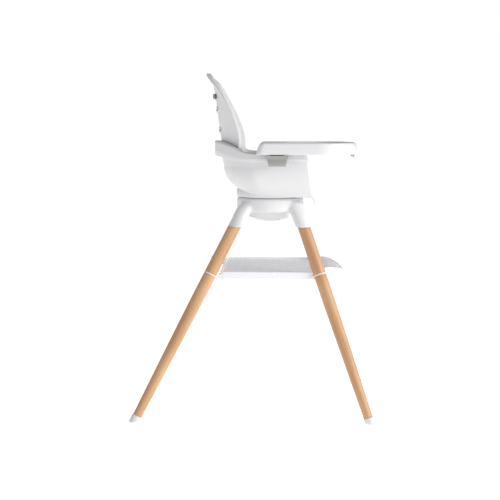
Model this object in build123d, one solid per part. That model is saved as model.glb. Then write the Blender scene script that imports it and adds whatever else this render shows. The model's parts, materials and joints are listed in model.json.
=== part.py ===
"""Baby high chair on four splayed wooden legs, with a swivelling seat and a sliding tray.

Millimetres. +Z is up, +X is the way the child faces, and the floor is Z = 0. The origin is on the
floor, under the middle of the footprint.
"""

import math
import os

from build123d import *

# ---------------------------------------------------------------- driving dimensions
SWIVEL_X = 49.0            # the swivel axis, vertical, at Y = 0

LEG_D = 35.4               # leg diameter above the footrest
LEG_FOOT_D = 25.0          # leg diameter at the floor
SOCKET_Z = 527.0           # underside of the leg sockets
TENON_R = 12.5             # turned-down top of each leg
TENON_TOP_Z = 566.0
FOOTREST_Z = 394.0         # where the leg halves meet
SOCKET_Y = 105.0           # leg axis at SOCKET_Z, to each side
REAR_SOCKET_X = -53.4
FRONT_SOCKET_X = 147.5
SPLAY_Y = 0.338            # outward run of every leg per millimetre of drop
REAR_RAKE = 0.516          # rearward run of a rear leg per millimetre of drop
FRONT_RAKE = 0.346         # forward run of a front leg per millimetre of drop
EYELET_T = 3.0             # footrest eyelet between the leg halves
FOOT_CAP_H = 15.0

HUB_R = 100.0
HUB_BOTTOM_Z = 566.0
HUB_TOP_Z = 608.0
WALL = 4.0
DOME_R = 69.0
DOME_BOTTOM_Z = 535.0
SPINDLE_R = 20.0
RUNNING = 0.05             # radial running clearance
TURNTABLE_R = 101.0
TURNTABLE_Z = 609.4
TURNTABLE_TOP_Z = 637.0

BUCKET_TOP_Z = 739.0
BUCKET_BEND_Z = 700.0      # the walls stand straight above this, and curve under below it
BUCKET_BOTTOM_Z = 612.5
BUCKET_PITCH = 1.5         # degrees the bottom runs down towards the front
BUCKET_HALF_W = 159.0
BUCKET_T = 3.5
FRONT_TOP = (152.5, 738.0)     # front panel, seen from the side: X, Z at the armrests
FRONT_TIP = (187.5, 581.0)     # and at the apron's lower edge

RIM_HALF_W = 172.0
RIM_REAR_X = -115.5
RIM_FRONT_X = 150.0
RIM_MID_X = 10.0
RIM_T = 3.0
RIM_TOP_Z = 739.0          # the level armrests
RIM_LOW_Z = 718.0

TRAY_REAR_X = 11.5
TRAY_FRONT_X = 303.0
TRAY_HALF_W = 205.0
TRAY_SKIRT_Z = 736.6
TRAY_TOP_Z = 769.0
TRAY_T = 3.0
LATCH_X = 69.5

STRAP_W = 20.0
STRAP_T = 1.6
SLOT_Y = 38.0              # shoulder strap slots, to each side
SLOT_ZS = (805.0, 864.0, 902.0)
SLOT_H = 6.0

SIDES = {"left": 1, "right": -1}
ENDS = ("front", "rear")

parts = {}


# ---------------------------------------------------------------- shared shapes
def prism_y(outline, half_width):
    """A closed side-view outline of (X, Z) points, made a solid across the chair."""
    wire = Polyline(*[(x, 0, z) for x, z in outline], close=True)
    return extrude(Face(Wire(wire.edges())), amount=half_width, dir=(0, 1, 0), both=True)


def prism_edges_y(edges, half_width):
    """As prism_y, from edges that lie in the XZ plane."""
    return extrude(Face(Wire(edges)), amount=half_width, dir=(0, 1, 0), both=True)


def ring(outer_r, inner_r, z_low, z_high, x=SWIVEL_X, y=0.0):
    height = z_high - z_low
    place = Pos(x, y, (z_low + z_high) / 2)
    return place * (Cylinder(outer_r, height) - Cylinder(inner_r, height + 2))


def disc(radius, z_low, z_high, x=SWIVEL_X, y=0.0):
    return Pos(x, y, (z_low + z_high) / 2) * Cylinder(radius, z_high - z_low)


def block(low, high):
    size = [high[i] - low[i] for i in range(3)]
    middle = [(high[i] + low[i]) / 2 for i in range(3)]
    return Pos(*middle) * Box(*size)


def pan_screw(head_r, head_h, shank_r, length):
    """A screw along +Z with its head's underside at the origin and its shank upward."""
    head = Pos(0, 0, -head_h / 2) * Cylinder(head_r, head_h)
    shank = Pos(0, 0, length / 2) * Cylinder(shank_r, length)
    hexagon = RegularPolygon(head_r * 0.45, 6)
    drive = Pos(0, 0, -head_h) * extrude(hexagon, amount=head_h * 0.6, both=True)
    return head + shank - drive


# ---------------------------------------------------------------- legs
def leg_frame(end, side, z):
    """The point of a leg's axis at height z, and the unit vector down the leg."""
    rake = FRONT_RAKE if end == "front" else -REAR_RAKE
    start_x = FRONT_SOCKET_X if end == "front" else REAR_SOCKET_X
    drop = SOCKET_Z - z
    point = Vector(start_x + rake * drop, side * (SOCKET_Y + SPLAY_Y * drop), z)
    return point, Vector(rake, side * SPLAY_Y, -1).normalized()


def leg_plane(end, side, z):
    point, down = leg_frame(end, side, z)
    return Plane(origin=point, x_dir=(0, 1, 0), z_dir=down)


def leg_solid(end, side, z_high, z_low, gap=0.0):
    """A leg from one height to another, tapering towards the foot in a soft convex curve."""
    plane = leg_plane(end, side, z_high)
    top, down = leg_frame(end, side, z_high)
    bottom, down = leg_frame(end, side, z_low)
    length = (bottom - top).length - gap
    start = gap
    taper_from = (leg_frame(end, side, FOOTREST_Z - 60)[0] - top).dot(down)
    foot = (leg_frame(end, side, 0)[0] - top).dot(down)
    top_r = LEG_D / 2

    def radius(s):
        if s <= taper_from:
            return top_r
        part = (s - taper_from) / (foot - taper_from)
        return top_r - (top_r - LEG_FOOT_D / 2) * part ** 1.25

    if taper_from >= length:
        return plane * Pos(0, 0, (start + length) / 2) * Cylinder(top_r, length - start)
    stations = [taper_from + (length - taper_from) * i / 5 for i in range(6)]
    end_run = (radius(length) - radius(length - 8), 0, 8)
    curve = Spline(*[(radius(s), 0, s) for s in stations], tangents=[(0, 0, 1), end_run])
    edges = [
        Line((0, 0, start), (top_r, 0, start)),
        Line((top_r, 0, start), (top_r, 0, taper_from)),
        curve,
        Line((radius(length), 0, length), (0, 0, length)),
        Line((0, 0, length), (0, 0, start)),
    ]
    return plane * revolve(Face(Wire(edges)), axis=Axis.Z)


def tenon(end, side):
    top, down = leg_frame(end, side, TENON_TOP_Z)
    length = (leg_frame(end, side, SOCKET_Z - 12)[0] - top).length
    return leg_plane(end, side, TENON_TOP_Z) * Pos(0, 0, length / 2) * Cylinder(TENON_R, length)


half_eyelet = EYELET_T / 2
for end in ENDS:
    for side_name, side in SIDES.items():
        tag = f"{end}_{side_name}"
        down_z = -leg_frame(end, side, 0)[1].Z
        shaft = leg_solid(end, side, SOCKET_Z + 20, FOOTREST_Z + half_eyelet * down_z)
        shaft = shaft - block((-500, -500, SOCKET_Z), (500, 500, SOCKET_Z + 100))
        upper = shaft + tenon(end, side)
        lower = leg_solid(end, side, FOOTREST_Z - half_eyelet * down_z, 5.0)
        cap_plane = leg_plane(end, side, FOOT_CAP_H)
        cap = cap_plane * Pos(0, 0, 15) * Cone(14.6, 13.4, 30)
        cap = cap - block((-500, -500, -60), (500, 500, 0)) - leg_solid(end, side, FOOTREST_Z - 20, 5.0)
        stud_plane = leg_plane(end, side, FOOTREST_Z)
        stud_hole = stud_plane * Cylinder(4.0, 70)
        parts[f"upper_leg_{tag}"] = upper - stud_hole
        parts[f"lower_leg_{tag}"] = lower - stud_hole
        parts[f"foot_cap_{tag}"] = cap


def for_each_leg(make):
    return Compound(children=[make(end, side) for end in ENDS for side in SIDES.values()])


parts["leg_joint_studs"] = for_each_leg(
    lambda end, side: Solid.make_cylinder(4.0, 70, leg_plane(end, side, FOOTREST_Z).offset(-35))
)

# ---------------------------------------------------------------- hub
LEG_SCREW_Z = 548.0


def socket(end, side):
    """One leg socket: a tapered sleeve that grows out of the hub and ends level."""
    if end == "front":
        levels = [
            (SOCKET_Z, 145.8, 100.3, 22.4, 24.3),
            (548.0, 139.0, 92.0, 24.2, 24.2),
            (566.0, 132.8, 84.0, 25.8, 24.0),
            (582.0, 130.0, 71.0, 24.5, 22.5),
            (604.0, 122.0, 58.0, 22.0, 20.0),
        ]
    else:
        levels = [
            (SOCKET_Z, -45.2, 100.3, 25.2, 24.3),
            (548.0, -38.5, 92.0, 24.2, 24.2),
            (566.0, -31.5, 84.0, 23.5, 24.0),
            (582.0, -25.5, 73.0, 22.5, 22.5),
            (604.0, -12.0, 60.0, 21.0, 20.0),
        ]
    return loft([Pos(x, side * y, z) * Ellipse(rx, ry) for z, x, y, rx, ry in levels])


hub_core = disc(HUB_R, HUB_BOTTOM_Z, HUB_TOP_Z)
hub_core = fillet(hub_core.edges().sort_by(Axis.Z)[-1], 9)
hub_core = fillet(hub_core.edges().sort_by(Axis.Z)[0], 6)
hub = hub_core
for end in ENDS:
    for side in SIDES.values():
        hub = hub + socket(end, side)
hub = hub - disc(DOME_R, HUB_BOTTOM_Z - 1, HUB_TOP_Z - WALL)
hub = hub + ring(SPINDLE_R + 8, SPINDLE_R + 3, 572, HUB_TOP_Z)
hub = hub - disc(SPINDLE_R + 3, 560, HUB_TOP_Z + 2)
hub = hub - disc(SPINDLE_R + 11, HUB_TOP_Z - 2, HUB_TOP_Z + 2)
GROOVE_IN, GROOVE_OUT = 74.0, 88.0
hub = hub - ring(GROOVE_OUT, GROOVE_IN, HUB_TOP_Z - 5, HUB_TOP_Z + 2)
GLIDE_IN, GLIDE_OUT = 44.0, 58.0
hub = hub - ring(GLIDE_OUT, GLIDE_IN, HUB_TOP_Z - 2, HUB_TOP_Z + 2)
hub = hub - for_each_leg(lambda end, side: tenon(end, side).solid())


def leg_screw_plane(end, side):
    """The seat of a leg's fixing screw: it runs outward from inside the hub, square to the leg."""
    point, down = leg_frame(end, side, LEG_SCREW_Z)
    outward = Vector(point.X - SWIVEL_X, point.Y, 0)
    outward = (outward - down * outward.dot(down)).normalized()
    return Plane(origin=point - outward * 20, x_dir=down, z_dir=outward)


parts["leg_screws"] = for_each_leg(
    lambda end, side: (leg_screw_plane(end, side) * pan_screw(5.0, 3.0, 2.5, 30)).solid()
)
hub = hub - for_each_leg(
    lambda end, side: (leg_screw_plane(end, side) * Pos(0, 0, -20) * Cylinder(5.6, 40)).solid()
)
parts["hub_body"] = hub - parts["leg_screws"]
for end in ENDS:
    for side_name, side in SIDES.items():
        name = f"upper_leg_{end}_{side_name}"
        parts[name] = parts[name] - (leg_screw_plane(end, side) * Pos(0, 0, 15) * Cylinder(2.5, 30)).solid()

parts["swivel_bush"] = ring(SPINDLE_R + 3, SPINDLE_R + RUNNING, 572, HUB_TOP_Z) + ring(
    SPINDLE_R + 11, SPINDLE_R + RUNNING, HUB_TOP_Z - 2, HUB_TOP_Z + 0.8
)
parts["swivel_glide_ring"] = ring(GLIDE_OUT, GLIDE_IN, HUB_TOP_Z - 2, HUB_TOP_Z + 0.8)

index_ring = ring(GROOVE_OUT, GROOVE_IN, HUB_TOP_Z - 5, HUB_TOP_Z - 2.5)
for step in range(12):
    notch = Pos(SWIVEL_X, 0, HUB_TOP_Z - 3) * Rot(0, 0, 30 * step) * Pos(81, 0, 0) * Cylinder(3.6, 6)
    index_ring = index_ring - notch
parts["index_ring"] = index_ring

# the round cover under the hub: a shallow bowl with a short upright wall
COVER_TOP_Z = HUB_BOTTOM_Z + 6
COVER_SCREW_R = 52.0


def dome_solid(inset):
    r = DOME_R - 0.4 - inset
    low_z = DOME_BOTTOM_Z + inset
    knee_z = low_z + 15
    outline = [
        Line((0, 0, COVER_TOP_Z), (r, 0, COVER_TOP_Z)),
        Line((r, 0, COVER_TOP_Z), (r, 0, knee_z)),
        ThreePointArc((r, 0, knee_z), (r * 0.6, 0, low_z + 4.2), (0, 0, low_z)),
        Line((0, 0, low_z), (0, 0, COVER_TOP_Z)),
    ]
    return Pos(SWIVEL_X, 0, 0) * revolve(Face(Wire(outline)), axis=Axis.Z)


dome_outer = dome_solid(0)
dome = dome_outer - dome_solid(2.5)
cover_screws = []
for step in range(3):
    place = Pos(SWIVEL_X, 0, 0) * Rot(0, 0, 60 + 120 * step) * Pos(COVER_SCREW_R, 0, 556)
    boss = place * Pos(0, 0, 8) * Cylinder(6.0, 60)
    dome = dome + (boss & dome_outer)
    dome = dome - place * Pos(0, 0, -17) * Cylinder(4.4, 34)
    cover_screws.append((place * pan_screw(3.8, 2.4, 1.8, 50)).solid())
    post = place * Pos(0, 0, 32) * Cylinder(6.0, 32)
    parts["hub_body"] = parts["hub_body"] + post
for screw in cover_screws:
    dome = dome - screw
    parts["hub_body"] = parts["hub_body"] - screw
parts["hub_base_cover"] = dome
parts["hub_cover_screws"] = Compound(children=cover_screws)

# ---------------------------------------------------------------- footrest
PLATE_REAR_X, PLATE_FRONT_X = -92.0, 181.0
PLATE_HALF_W = 150.0
TONGUE_X, TONGUE_LENGTH, TONGUE_HALF_W = 177.0, 92.0, 123.0
PLATE_Z = 395.0
PLATE_T = 3.2
PLATE_CORNER_R = 9.0
EDGE_RISE = 6.0            # the raised edge round the plate
# from the side, X and height over the plate: the tongue swells up, then turns down over the toes
CREST = ((165.0, 0.0), (212.0, 9.0), (243.0, 4.0), (276.0, -16.0))
HEM = ((165.0, -13.5), (232.0, -13.5), (276.0, -25.0))
LEG_CLEAR = 0.4


def footrest_line(points, offset, end_fall):
    """A side-view line of the footrest: level between the legs, then through the points."""
    level_x, level_z = points[0][0], PLATE_Z + points[0][1] + offset
    curve = Spline(
        *[(x, 0, PLATE_Z + z + offset) for x, z in points], tangents=[(1, 0, 0), (1, 0, -end_fall)]
    )
    return Line((PLATE_REAR_X - 5, 0, level_z), (level_x, 0, level_z)), curve


def crest_line(offset):
    return footrest_line(CREST, offset, 0.9)


def footrest_band(low, high):
    """The space between two side-view lines, across the whole footrest."""
    rear = Line(low[0] @ 0, high[0] @ 0)
    front = Line(low[1] @ 1, high[1] @ 1)
    return prism_edges_y([rear, *low, front, *high], PLATE_HALF_W + 5)


def footrest_plan(inset):
    """The footrest from above, between the four legs, with a half-oval tongue in front."""
    length = PLATE_FRONT_X - PLATE_REAR_X
    plan = Pos(PLATE_REAR_X + length / 2, 0) * Rectangle(length - 2 * inset, 2 * (PLATE_HALF_W - inset))
    plan = plan + Pos(TONGUE_X, 0) * Ellipse(TONGUE_LENGTH - inset, TONGUE_HALF_W - inset)
    return fillet(plan.vertices(), PLATE_CORNER_R - inset)


def tall(plan):
    return Pos(0, 0, PLATE_Z - 40) * extrude(plan, amount=80)


skirt_band = footrest_band(footrest_line(HEM, 0.0, 0.35), crest_line(EDGE_RISE))
sheet_band = footrest_band(crest_line(-PLATE_T / 2), crest_line(PLATE_T / 2))
footrest = (tall(footrest_plan(0)) - tall(footrest_plan(PLATE_T))) & skirt_band
footrest = footrest + (tall(footrest_plan(0)) & sheet_band)
LUG_HALF_L, LUG_H, LUG_W = 6.0, 19.0, 17.0
for side in SIDES.values():
    low_y, high_y = sorted((side * (PLATE_HALF_W - 1 - LUG_W), side * (PLATE_HALF_W - 1)))
    footrest = footrest + block(
        (PLATE_REAR_X - LUG_HALF_L, low_y, PLATE_Z - LUG_H), (PLATE_REAR_X + LUG_HALF_L, high_y, PLATE_Z)
    )
TAB_REACH = {"rear": 32.0, "front": -27.0}
for end in ENDS:
    for side in SIDES.values():
        plane = leg_plane(end, side, FOOTREST_Z)
        footrest = footrest - plane * Cylinder(LEG_D / 2 + LEG_CLEAR, 120)
        eye = plane * Cylinder(LEG_D / 2 + 1.6, EYELET_T)
        tab = plane * Pos(-side * 3, TAB_REACH[end] / 2) * Box(22, abs(TAB_REACH[end]), EYELET_T)
        footrest = footrest + (eye + tab)
parts["footrest_plate"] = footrest - parts["leg_joint_studs"]

TREAD_T = 1.8
tread_plan = Pos(TONGUE_X + 36, 0) * Ellipse(41, 92)
tread_band = footrest_band(crest_line(PLATE_T / 2), crest_line(PLATE_T / 2 + TREAD_T))
parts["footrest_tread"] = tall(tread_plan) & tread_band

# ---------------------------------------------------------------- seat bucket
BUCKET_STEPS = (0, 18, 36, 54, 72, 86)     # degrees round the curve under the bucket
PITCH_X = 60.0


def u_outline(rear_x, mid_x, front_x, half_width, z):
    """A closed plan outline: a half oval behind mid_x and straight sides in front of it."""
    arc = Pos(0, 0, z) * EllipticalCenterArc((mid_x, 0), mid_x - rear_x, half_width, 90, arc_size=180)
    start, end = arc @ 0, arc @ 1
    edges = [
        arc,
        Line(end, (front_x, end.Y, z)),
        Line((front_x, end.Y, z), (front_x, start.Y, z)),
        Line((front_x, start.Y, z), start),
    ]
    return Face(Wire(edges))


def bucket_section(turn, inset):
    """A level cut through the bucket: turn is 0 where the walls end and 90 at the bottom."""
    c, s = math.cos(math.radians(turn)), math.sin(math.radians(turn))
    z = BUCKET_BEND_Z - (BUCKET_BEND_Z - BUCKET_BOTTOM_Z - inset) * s
    rear_x = 23.0 - (112.0 - inset) * c
    half_width = 78.0 + (BUCKET_HALF_W - 1.5 - 78.0 - inset) * c ** 0.65
    outline = u_outline(rear_x, 10.0 + 42.0 * (1 - c), 230.0, half_width, 0)
    return Pos(PITCH_X, 0, z) * Rot(0, BUCKET_PITCH * s, 0) * Pos(-PITCH_X, 0, 0) * outline


def bucket_solid(inset):
    faces = [bucket_section(turn, inset) for turn in reversed(BUCKET_STEPS)]
    for rear_x, narrower, z in ((-92.8, 0.8, 722.0), (-96.0, 0.0, BUCKET_TOP_Z)):
        half_width = BUCKET_HALF_W - narrower - inset
        faces.append(u_outline(rear_x + inset, RIM_MID_X, 230.0, half_width, z))
    return loft(faces)


def front_curve(offset):
    """The front panel's face from the side, bottom to top, moved back by offset."""
    tip_x, tip_z = FRONT_TIP
    top_x, top_z = FRONT_TOP
    points = [(tip_x, tip_z), (172.2, 624), (159.4, 693), (top_x, top_z + 8)]
    return Spline(*[(x - offset, 0, z) for x, z in points])


def front_slab(offset_near, offset_far, half_width):
    near, far = front_curve(offset_near), front_curve(offset_far)
    edges = [near, Line(near @ 1, far @ 1), far, Line(far @ 0, near @ 0)]
    return prism_edges_y(edges, half_width)


def ahead_of_front(offset):
    """Everything in front of the front panel's face."""
    face = front_curve(offset)
    low, high = face @ 0, face @ 1
    edges = [
        face,
        Line(high, (300, 0, high.Z)),
        Line((300, 0, high.Z), (300, 0, low.Z)),
        Line((300, 0, low.Z), low),
    ]
    return prism_edges_y(edges, 200)


LEG_OPENING_Z = 640.0      # lip of the leg openings in the front panel
bucket_outer = bucket_solid(0)
bucket_inner = bucket_solid(BUCKET_T)
bucket = (bucket_outer - ahead_of_front(0)) - (bucket_inner - ahead_of_front(BUCKET_T))
leg_opening = block((120, -136, LEG_OPENING_Z), (200, 136, BUCKET_TOP_Z + 5))
bucket = bucket - leg_opening
apron_shape = extrude(Plane.YZ * Pos(0, 652) * Ellipse(119, 71), amount=260)
apron = front_slab(0, BUCKET_T, 125) & apron_shape
apron = apron - block((0, -200, LEG_OPENING_Z - 12), (300, 200, 800))
bucket = bucket + (apron - bucket_inner)


# ---------------------------------------------------------------- turntable
def drum_profile():
    top_r, bottom_r = TURNTABLE_R - 5.5, TURNTABLE_R - 2
    barrel = ThreePointArc((bottom_r, 0, TURNTABLE_Z), (TURNTABLE_R, 0, 621), (top_r, 0, TURNTABLE_TOP_Z))
    edges = [
        Line((0, 0, TURNTABLE_Z), (bottom_r, 0, TURNTABLE_Z)),
        barrel,
        Line((top_r, 0, TURNTABLE_TOP_Z), (0, 0, TURNTABLE_TOP_Z)),
        Line((0, 0, TURNTABLE_TOP_Z), (0, 0, TURNTABLE_Z)),
    ]
    return Face(Wire(edges))


DRUM_T = 4.0
LEVER_X = -40.0            # release lever's pivot
LEVER_Z = 619.5
turntable = Pos(SWIVEL_X, 0, 0) * revolve(drum_profile(), axis=Axis.Z)
turntable = turntable - ring(TURNTABLE_R - 9, 60, TURNTABLE_Z + DRUM_T, TURNTABLE_TOP_Z + 5)
turntable = turntable - bucket_outer
turntable = turntable + disc(SPINDLE_R, 571.0, TURNTABLE_Z + 1)
turntable = turntable - block((-56, -15.5, 610.9), (-38, 15.5, 626.0))     # lever window
turntable = turntable - block((-38, -8, 600), (-26, 8, TURNTABLE_Z + 6))  # tooth slot
for side in SIDES.values():
    low_y, high_y = sorted((side * 16, side * 20))
    cheek = block((LEVER_X - 5, low_y, 612), (LEVER_X + 5, high_y, 623))
    turntable = turntable + (cheek - bucket_outer)
LEVER_PIN = Pos(LEVER_X, 0, LEVER_Z) * Rot(90, 0, 0) * Cylinder(1.5, 40)
turntable = turntable - LEVER_PIN
parts["lever_pin"] = LEVER_PIN

# the release lever: a flush paddle outside, a tooth over the index ring inside
lever = block((-50.5, -14.5, 613.2), (-46.5, 14.5, 625.2))
lever = lever + block((-47, -14.5, 617.0), (LEVER_X + 3, 14.5, 622.0))
lever = lever + block((LEVER_X, -5, 617.0), (-28.5, 5, 621.0))
lever = lever + block((-35.0, -5, HUB_TOP_Z - 2.0), (-29.0, 5, 620.0))
lever = lever - Pos(LEVER_X, 0, LEVER_Z) * Rot(90, 0, 0) * Cylinder(1.5 + RUNNING, 50)
lever = lever - block((LEVER_X - 4.2, 6.5, 612), (LEVER_X + 8, 12.5, 628))
lever = lever - block((LEVER_X - 4.2, -12.5, 612), (LEVER_X + 8, -6.5, 628))
parts["release_lever"] = lever
coils = []
for side in SIDES.values():
    for turn in range(4):
        place = Pos(LEVER_X, side * (7.6 + 1.3 * turn), LEVER_Z) * Rot(90, 0, 0)
        coils.append((place * Torus(2.4, 0.5)).solid())
parts["lever_springs"] = Compound(children=coils)

parts["spindle_washer"] = ring(26, 4.0, 568.5, 571.0)
spindle_screw = Pos(SWIVEL_X, 0, 568.5) * pan_screw(7.0, 4.5, 4.0, 26)
parts["spindle_screw"] = spindle_screw
turntable = turntable - spindle_screw
TURNTABLE_SCREW_R = 36.0
screws = []
for step in range(4):
    place = Pos(SWIVEL_X, 0, 0) * Rot(0, 0, 45 + 90 * step) * Pos(TURNTABLE_SCREW_R, 0, 611.0)
    screw = (place * pan_screw(4.0, 1.4, 2.0, 4.6)).solid()
    screws.append(screw)
    turntable = turntable - screw - place * Pos(0, 0, -6) * Cylinder(4.3, 12)
    bucket = bucket - screw
parts["turntable_screws"] = Compound(children=screws)
parts["turntable"] = turntable


# ---------------------------------------------------------------- armrest rim
def rim_band(lower):
    """The rim from the side: high behind the back, falling to level armrests."""
    points = ((-126, 776.0), (-89, 768.5), (-57, 757.0), (-31, 745.5), (11, RIM_TOP_Z))
    top = Spline(*[(x, 0, z - lower) for x, z in points], tangents=[(1, 0, -0.08), (1, 0, 0)])
    front_x = RIM_FRONT_X + 10
    edges = [top, Line(top @ 1, (front_x, 0, RIM_TOP_Z - lower))]
    if lower:
        hem = [Line((-126, 0, 600), (front_x, 0, 600))]
    else:
        under = Spline(
            (-126, 0, 734), (-100, 0, 729), (-60, 0, 720.5), (-20, 0, RIM_LOW_Z),
            tangents=[(1, 0, -0.1), (1, 0, 0)],
        )
        hem = [under, Line(under @ 1, (front_x, 0, RIM_LOW_Z))]
    edges += hem
    edges += [Line(edges[1] @ 1, hem[-1] @ 1), Line(top @ 0, hem[0] @ 0)]
    return prism_edges_y(edges, RIM_HALF_W + 5)


def u_prism(rear_x, front_x, half_width, low_z=700.0, high_z=790.0):
    return extrude(u_outline(rear_x, RIM_MID_X, front_x, half_width, low_z), amount=high_z - low_z)


RIM_INNER_X, RIM_INNER_W = -97.3, BUCKET_HALF_W + 0.3
rim = u_prism(RIM_REAR_X, RIM_FRONT_X, RIM_HALF_W) - u_prism(RIM_INNER_X, 200, RIM_INNER_W)
hollow = u_prism(RIM_REAR_X + RIM_T, RIM_FRONT_X - RIM_T, RIM_HALF_W - RIM_T)
hollow = hollow - u_prism(RIM_INNER_X - RIM_T, 200, RIM_INNER_W + RIM_T)
parts["armrest_rim"] = (rim & rim_band(0)) - (hollow & rim_band(RIM_T))

# ---------------------------------------------------------------- back
# height, rear face at the middle, side edge, half width: the back shell from its foot to its top
BACK_STATIONS = (
    (702, -81.5, -25.0, 128.0),
    (745, -92.0, -30.5, 140.0),
    (790, -98.0, -34.5, 145.0),
    (835, -104.5, -49.0, 140.0),
    (880, -110.0, -70.0, 124.0),
    (915, -114.5, -91.0, 103.0),
    (943, -125.0, -113.0, 74.0),
    (960, -134.5, -129.0, 44.0),
)
SHELL_T = 3.5
LIP_W = 8.0
LIP_FOOT_Z = 751.0
LIP_LINE = ((-35, LIP_FOOT_Z), (-38, 795), (-51, 835), (-72, 880), (-93, 915), (-115, 944), (-133, 966))


def crescent(z, rear_x, edge_x, half_width, thickness):
    """A level cut through a curved shell, open towards +X."""
    tip = half_width - thickness * 0.6
    outer = ThreePointArc((edge_x, -half_width, z), (rear_x, 0, z), (edge_x, half_width, z))
    inner = ThreePointArc((edge_x + 1, tip, z), (rear_x + thickness, 0, z), (edge_x + 1, -tip, z))
    return Face(Wire([outer, Line(outer @ 1, inner @ 0), inner, Line(inner @ 1, outer @ 0)]))


def station_at(z):
    """Rear face and side edge of the back shell at height z, read between the stations."""
    for low, high in zip(BACK_STATIONS, BACK_STATIONS[1:]):
        if z <= high[0]:
            break
    part = (z - low[0]) / (high[0] - low[0])
    return [low[i] + part * (high[i] - low[i]) for i in (1, 2, 3)]


def lip_line(shift):
    return Spline(*[(x + shift, 0, z) for x, z in LIP_LINE])


EGG_HALF_W, EGG_Z, EGG_TOP_Z = 148.0, 790.0, 970.0


def egg(inset):
    """The back from the front, as a solid along X: a half oval on sides that draw in below."""
    half, foot = EGG_HALF_W - inset, EGG_HALF_W - inset - 3
    arch = EllipticalCenterArc((0, EGG_Z), half, EGG_TOP_Z - EGG_Z - inset, 0, arc_size=180)
    outline = [
        arch,
        Line((-half, EGG_Z), (-foot, LIP_FOOT_Z - 5)),
        Line((-foot, LIP_FOOT_Z - 5), (foot, LIP_FOOT_Z - 5)),
        Line((foot, LIP_FOOT_Z - 5), (half, EGG_Z)),
    ]
    return extrude(Plane.YZ * Face(Wire(outline)), amount=-200)


back = loft([crescent(z, rear, edge, w, SHELL_T) for z, rear, edge, w in BACK_STATIONS])
front_line, rear_line = lip_line(4), lip_line(-6)
band_edges = [
    front_line,
    Line(front_line @ 1, rear_line @ 1),
    rear_line,
    Line(rear_line @ 0, front_line @ 0),
]
lip = (egg(0) - egg(LIP_W)) & prism_edges_y(band_edges, 160)
parts["back_rim"] = lip - back
RIB_T, RIB_H, RIB_HALF_W = 3.2, 18.0, 60.0
for z in SLOT_ZS[:2]:
    rear_x, edge_x, half_width = station_at(z + RIB_H / 2)
    rib = crescent(z - RIB_H / 2, rear_x - RIB_T, edge_x - RIB_T, half_width, RIB_T + SHELL_T - 0.2)
    rib = extrude(rib, amount=RIB_H)
    back = back + (rib & block((-200, -RIB_HALF_W, z - 20), (0, RIB_HALF_W, z + 20)))
strap_slots = [
    Pos(-105, side * SLOT_Y, z) * Box(70, STRAP_W + 5, SLOT_H) for z in SLOT_ZS for side in SIDES.values()
]
back = back - strap_slots

screws = []
for side in SIDES.values():
    for x, z in ((-82.5, 714.0), (-84.5, 726.0)):
        screws.append((Pos(x, side * 30, z) * Rot(0, -90, 0) * pan_screw(3.6, 2.2, 1.7, 8.4)).solid())
for screw in screws:
    back = back - screw
    bucket = bucket - screw
parts["back_screws"] = Compound(children=screws)
parts["back_shell"] = back - bucket

# ---------------------------------------------------------------- pads
PAD_T = 9.0
PAD_STATIONS = (
    (652, -57.0, -28.0, 84.0),
    (668, -65.0, -27.0, 98.0),
    (690, -74.0, -26.0, 116.0),
    (715, -79.0, -24.0, 126.0),
    (745, -87.5, -27.0, 133.0),
    (790, -94.0, -29.5, 137.0),
    (835, -100.5, -44.0, 132.0),
    (880, -106.0, -62.0, 117.0),
    (915, -110.5, -82.0, 95.0),
    (940, -118.0, -102.0, 70.0),
    (955, -125.0, -117.0, 45.0),
)
back_pad = loft([crescent(z, rear + 0.4, edge, w, PAD_T) for z, rear, edge, w in PAD_STATIONS])
back_pad = back_pad - strap_slots - back

SEAT_PAD_LEVELS = ((619.0, 30.0, 148.0, 76.0), (625.0, 0.0, 154.0, 98.0), (631.0, -16.0, 153.0, 108.0))
seat_pad_faces = []
for z, rear_x, front_x, half_width in SEAT_PAD_LEVELS:
    outline = RectangleRounded(front_x - rear_x, 2 * half_width, 45)
    seat_pad_faces.append(Pos((front_x + rear_x) / 2, 0, z) * outline)
seat_pad = loft(seat_pad_faces)
SEAT_PAD_TOP = SEAT_PAD_LEVELS[-1][0]

# ---------------------------------------------------------------- crotch post
POST_HALF_W, POST_T, POST_TOP_Z = 12.0, 15.0, 733.0
POST_FOOT_Z = 620.0
post_slab = front_slab(BUCKET_T + 0.1, BUCKET_T + POST_T, POST_HALF_W)
post = post_slab & block((100, -60, POST_FOOT_Z), (200, 60, POST_TOP_Z))
post = fillet(post.edges().group_by(Axis.Z)[-1], 5)
seat_pad = seat_pad - block((144, -POST_HALF_W - 1, 600), (200, POST_HALF_W + 1, 660))
screws = []
for side in SIDES.values():
    place = Pos(172.2, side * 6.5, 630) * Rot(0, -90, 0)
    screws.append((place * pan_screw(3.2, 2.0, 1.5, 14)).solid())
for screw in screws:
    bucket = bucket - screw
    post = post - screw
parts["crotch_post"] = post - bucket
parts["crotch_post_screws"] = Compound(children=screws)

# ---------------------------------------------------------------- harness
BUCKLE_X, BUCKLE_HALF_L, BUCKLE_HALF_W = 34.0, 20.0, 23.0
BUCKLE_LOW_Z, BUCKLE_TOP_Z = SEAT_PAD_TOP + 3.8, SEAT_PAD_TOP + 17.0
BUTTON_R = 9.0


def ribbon(points, half_width, y=0.0):
    """Webbing laid along side-view points (X, Z) of its lower face."""
    lifted = []
    for i, (x, z) in enumerate(points):
        before, after = points[max(i - 1, 0)], points[min(i + 1, len(points) - 1)]
        run = Vector(after[0] - before[0], 0, after[1] - before[1]).normalized()
        lifted.append((x - run.Z * STRAP_T, z + run.X * STRAP_T))
    return Pos(0, y, 0) * prism_y(list(points) + lifted[::-1], half_width)


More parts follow.
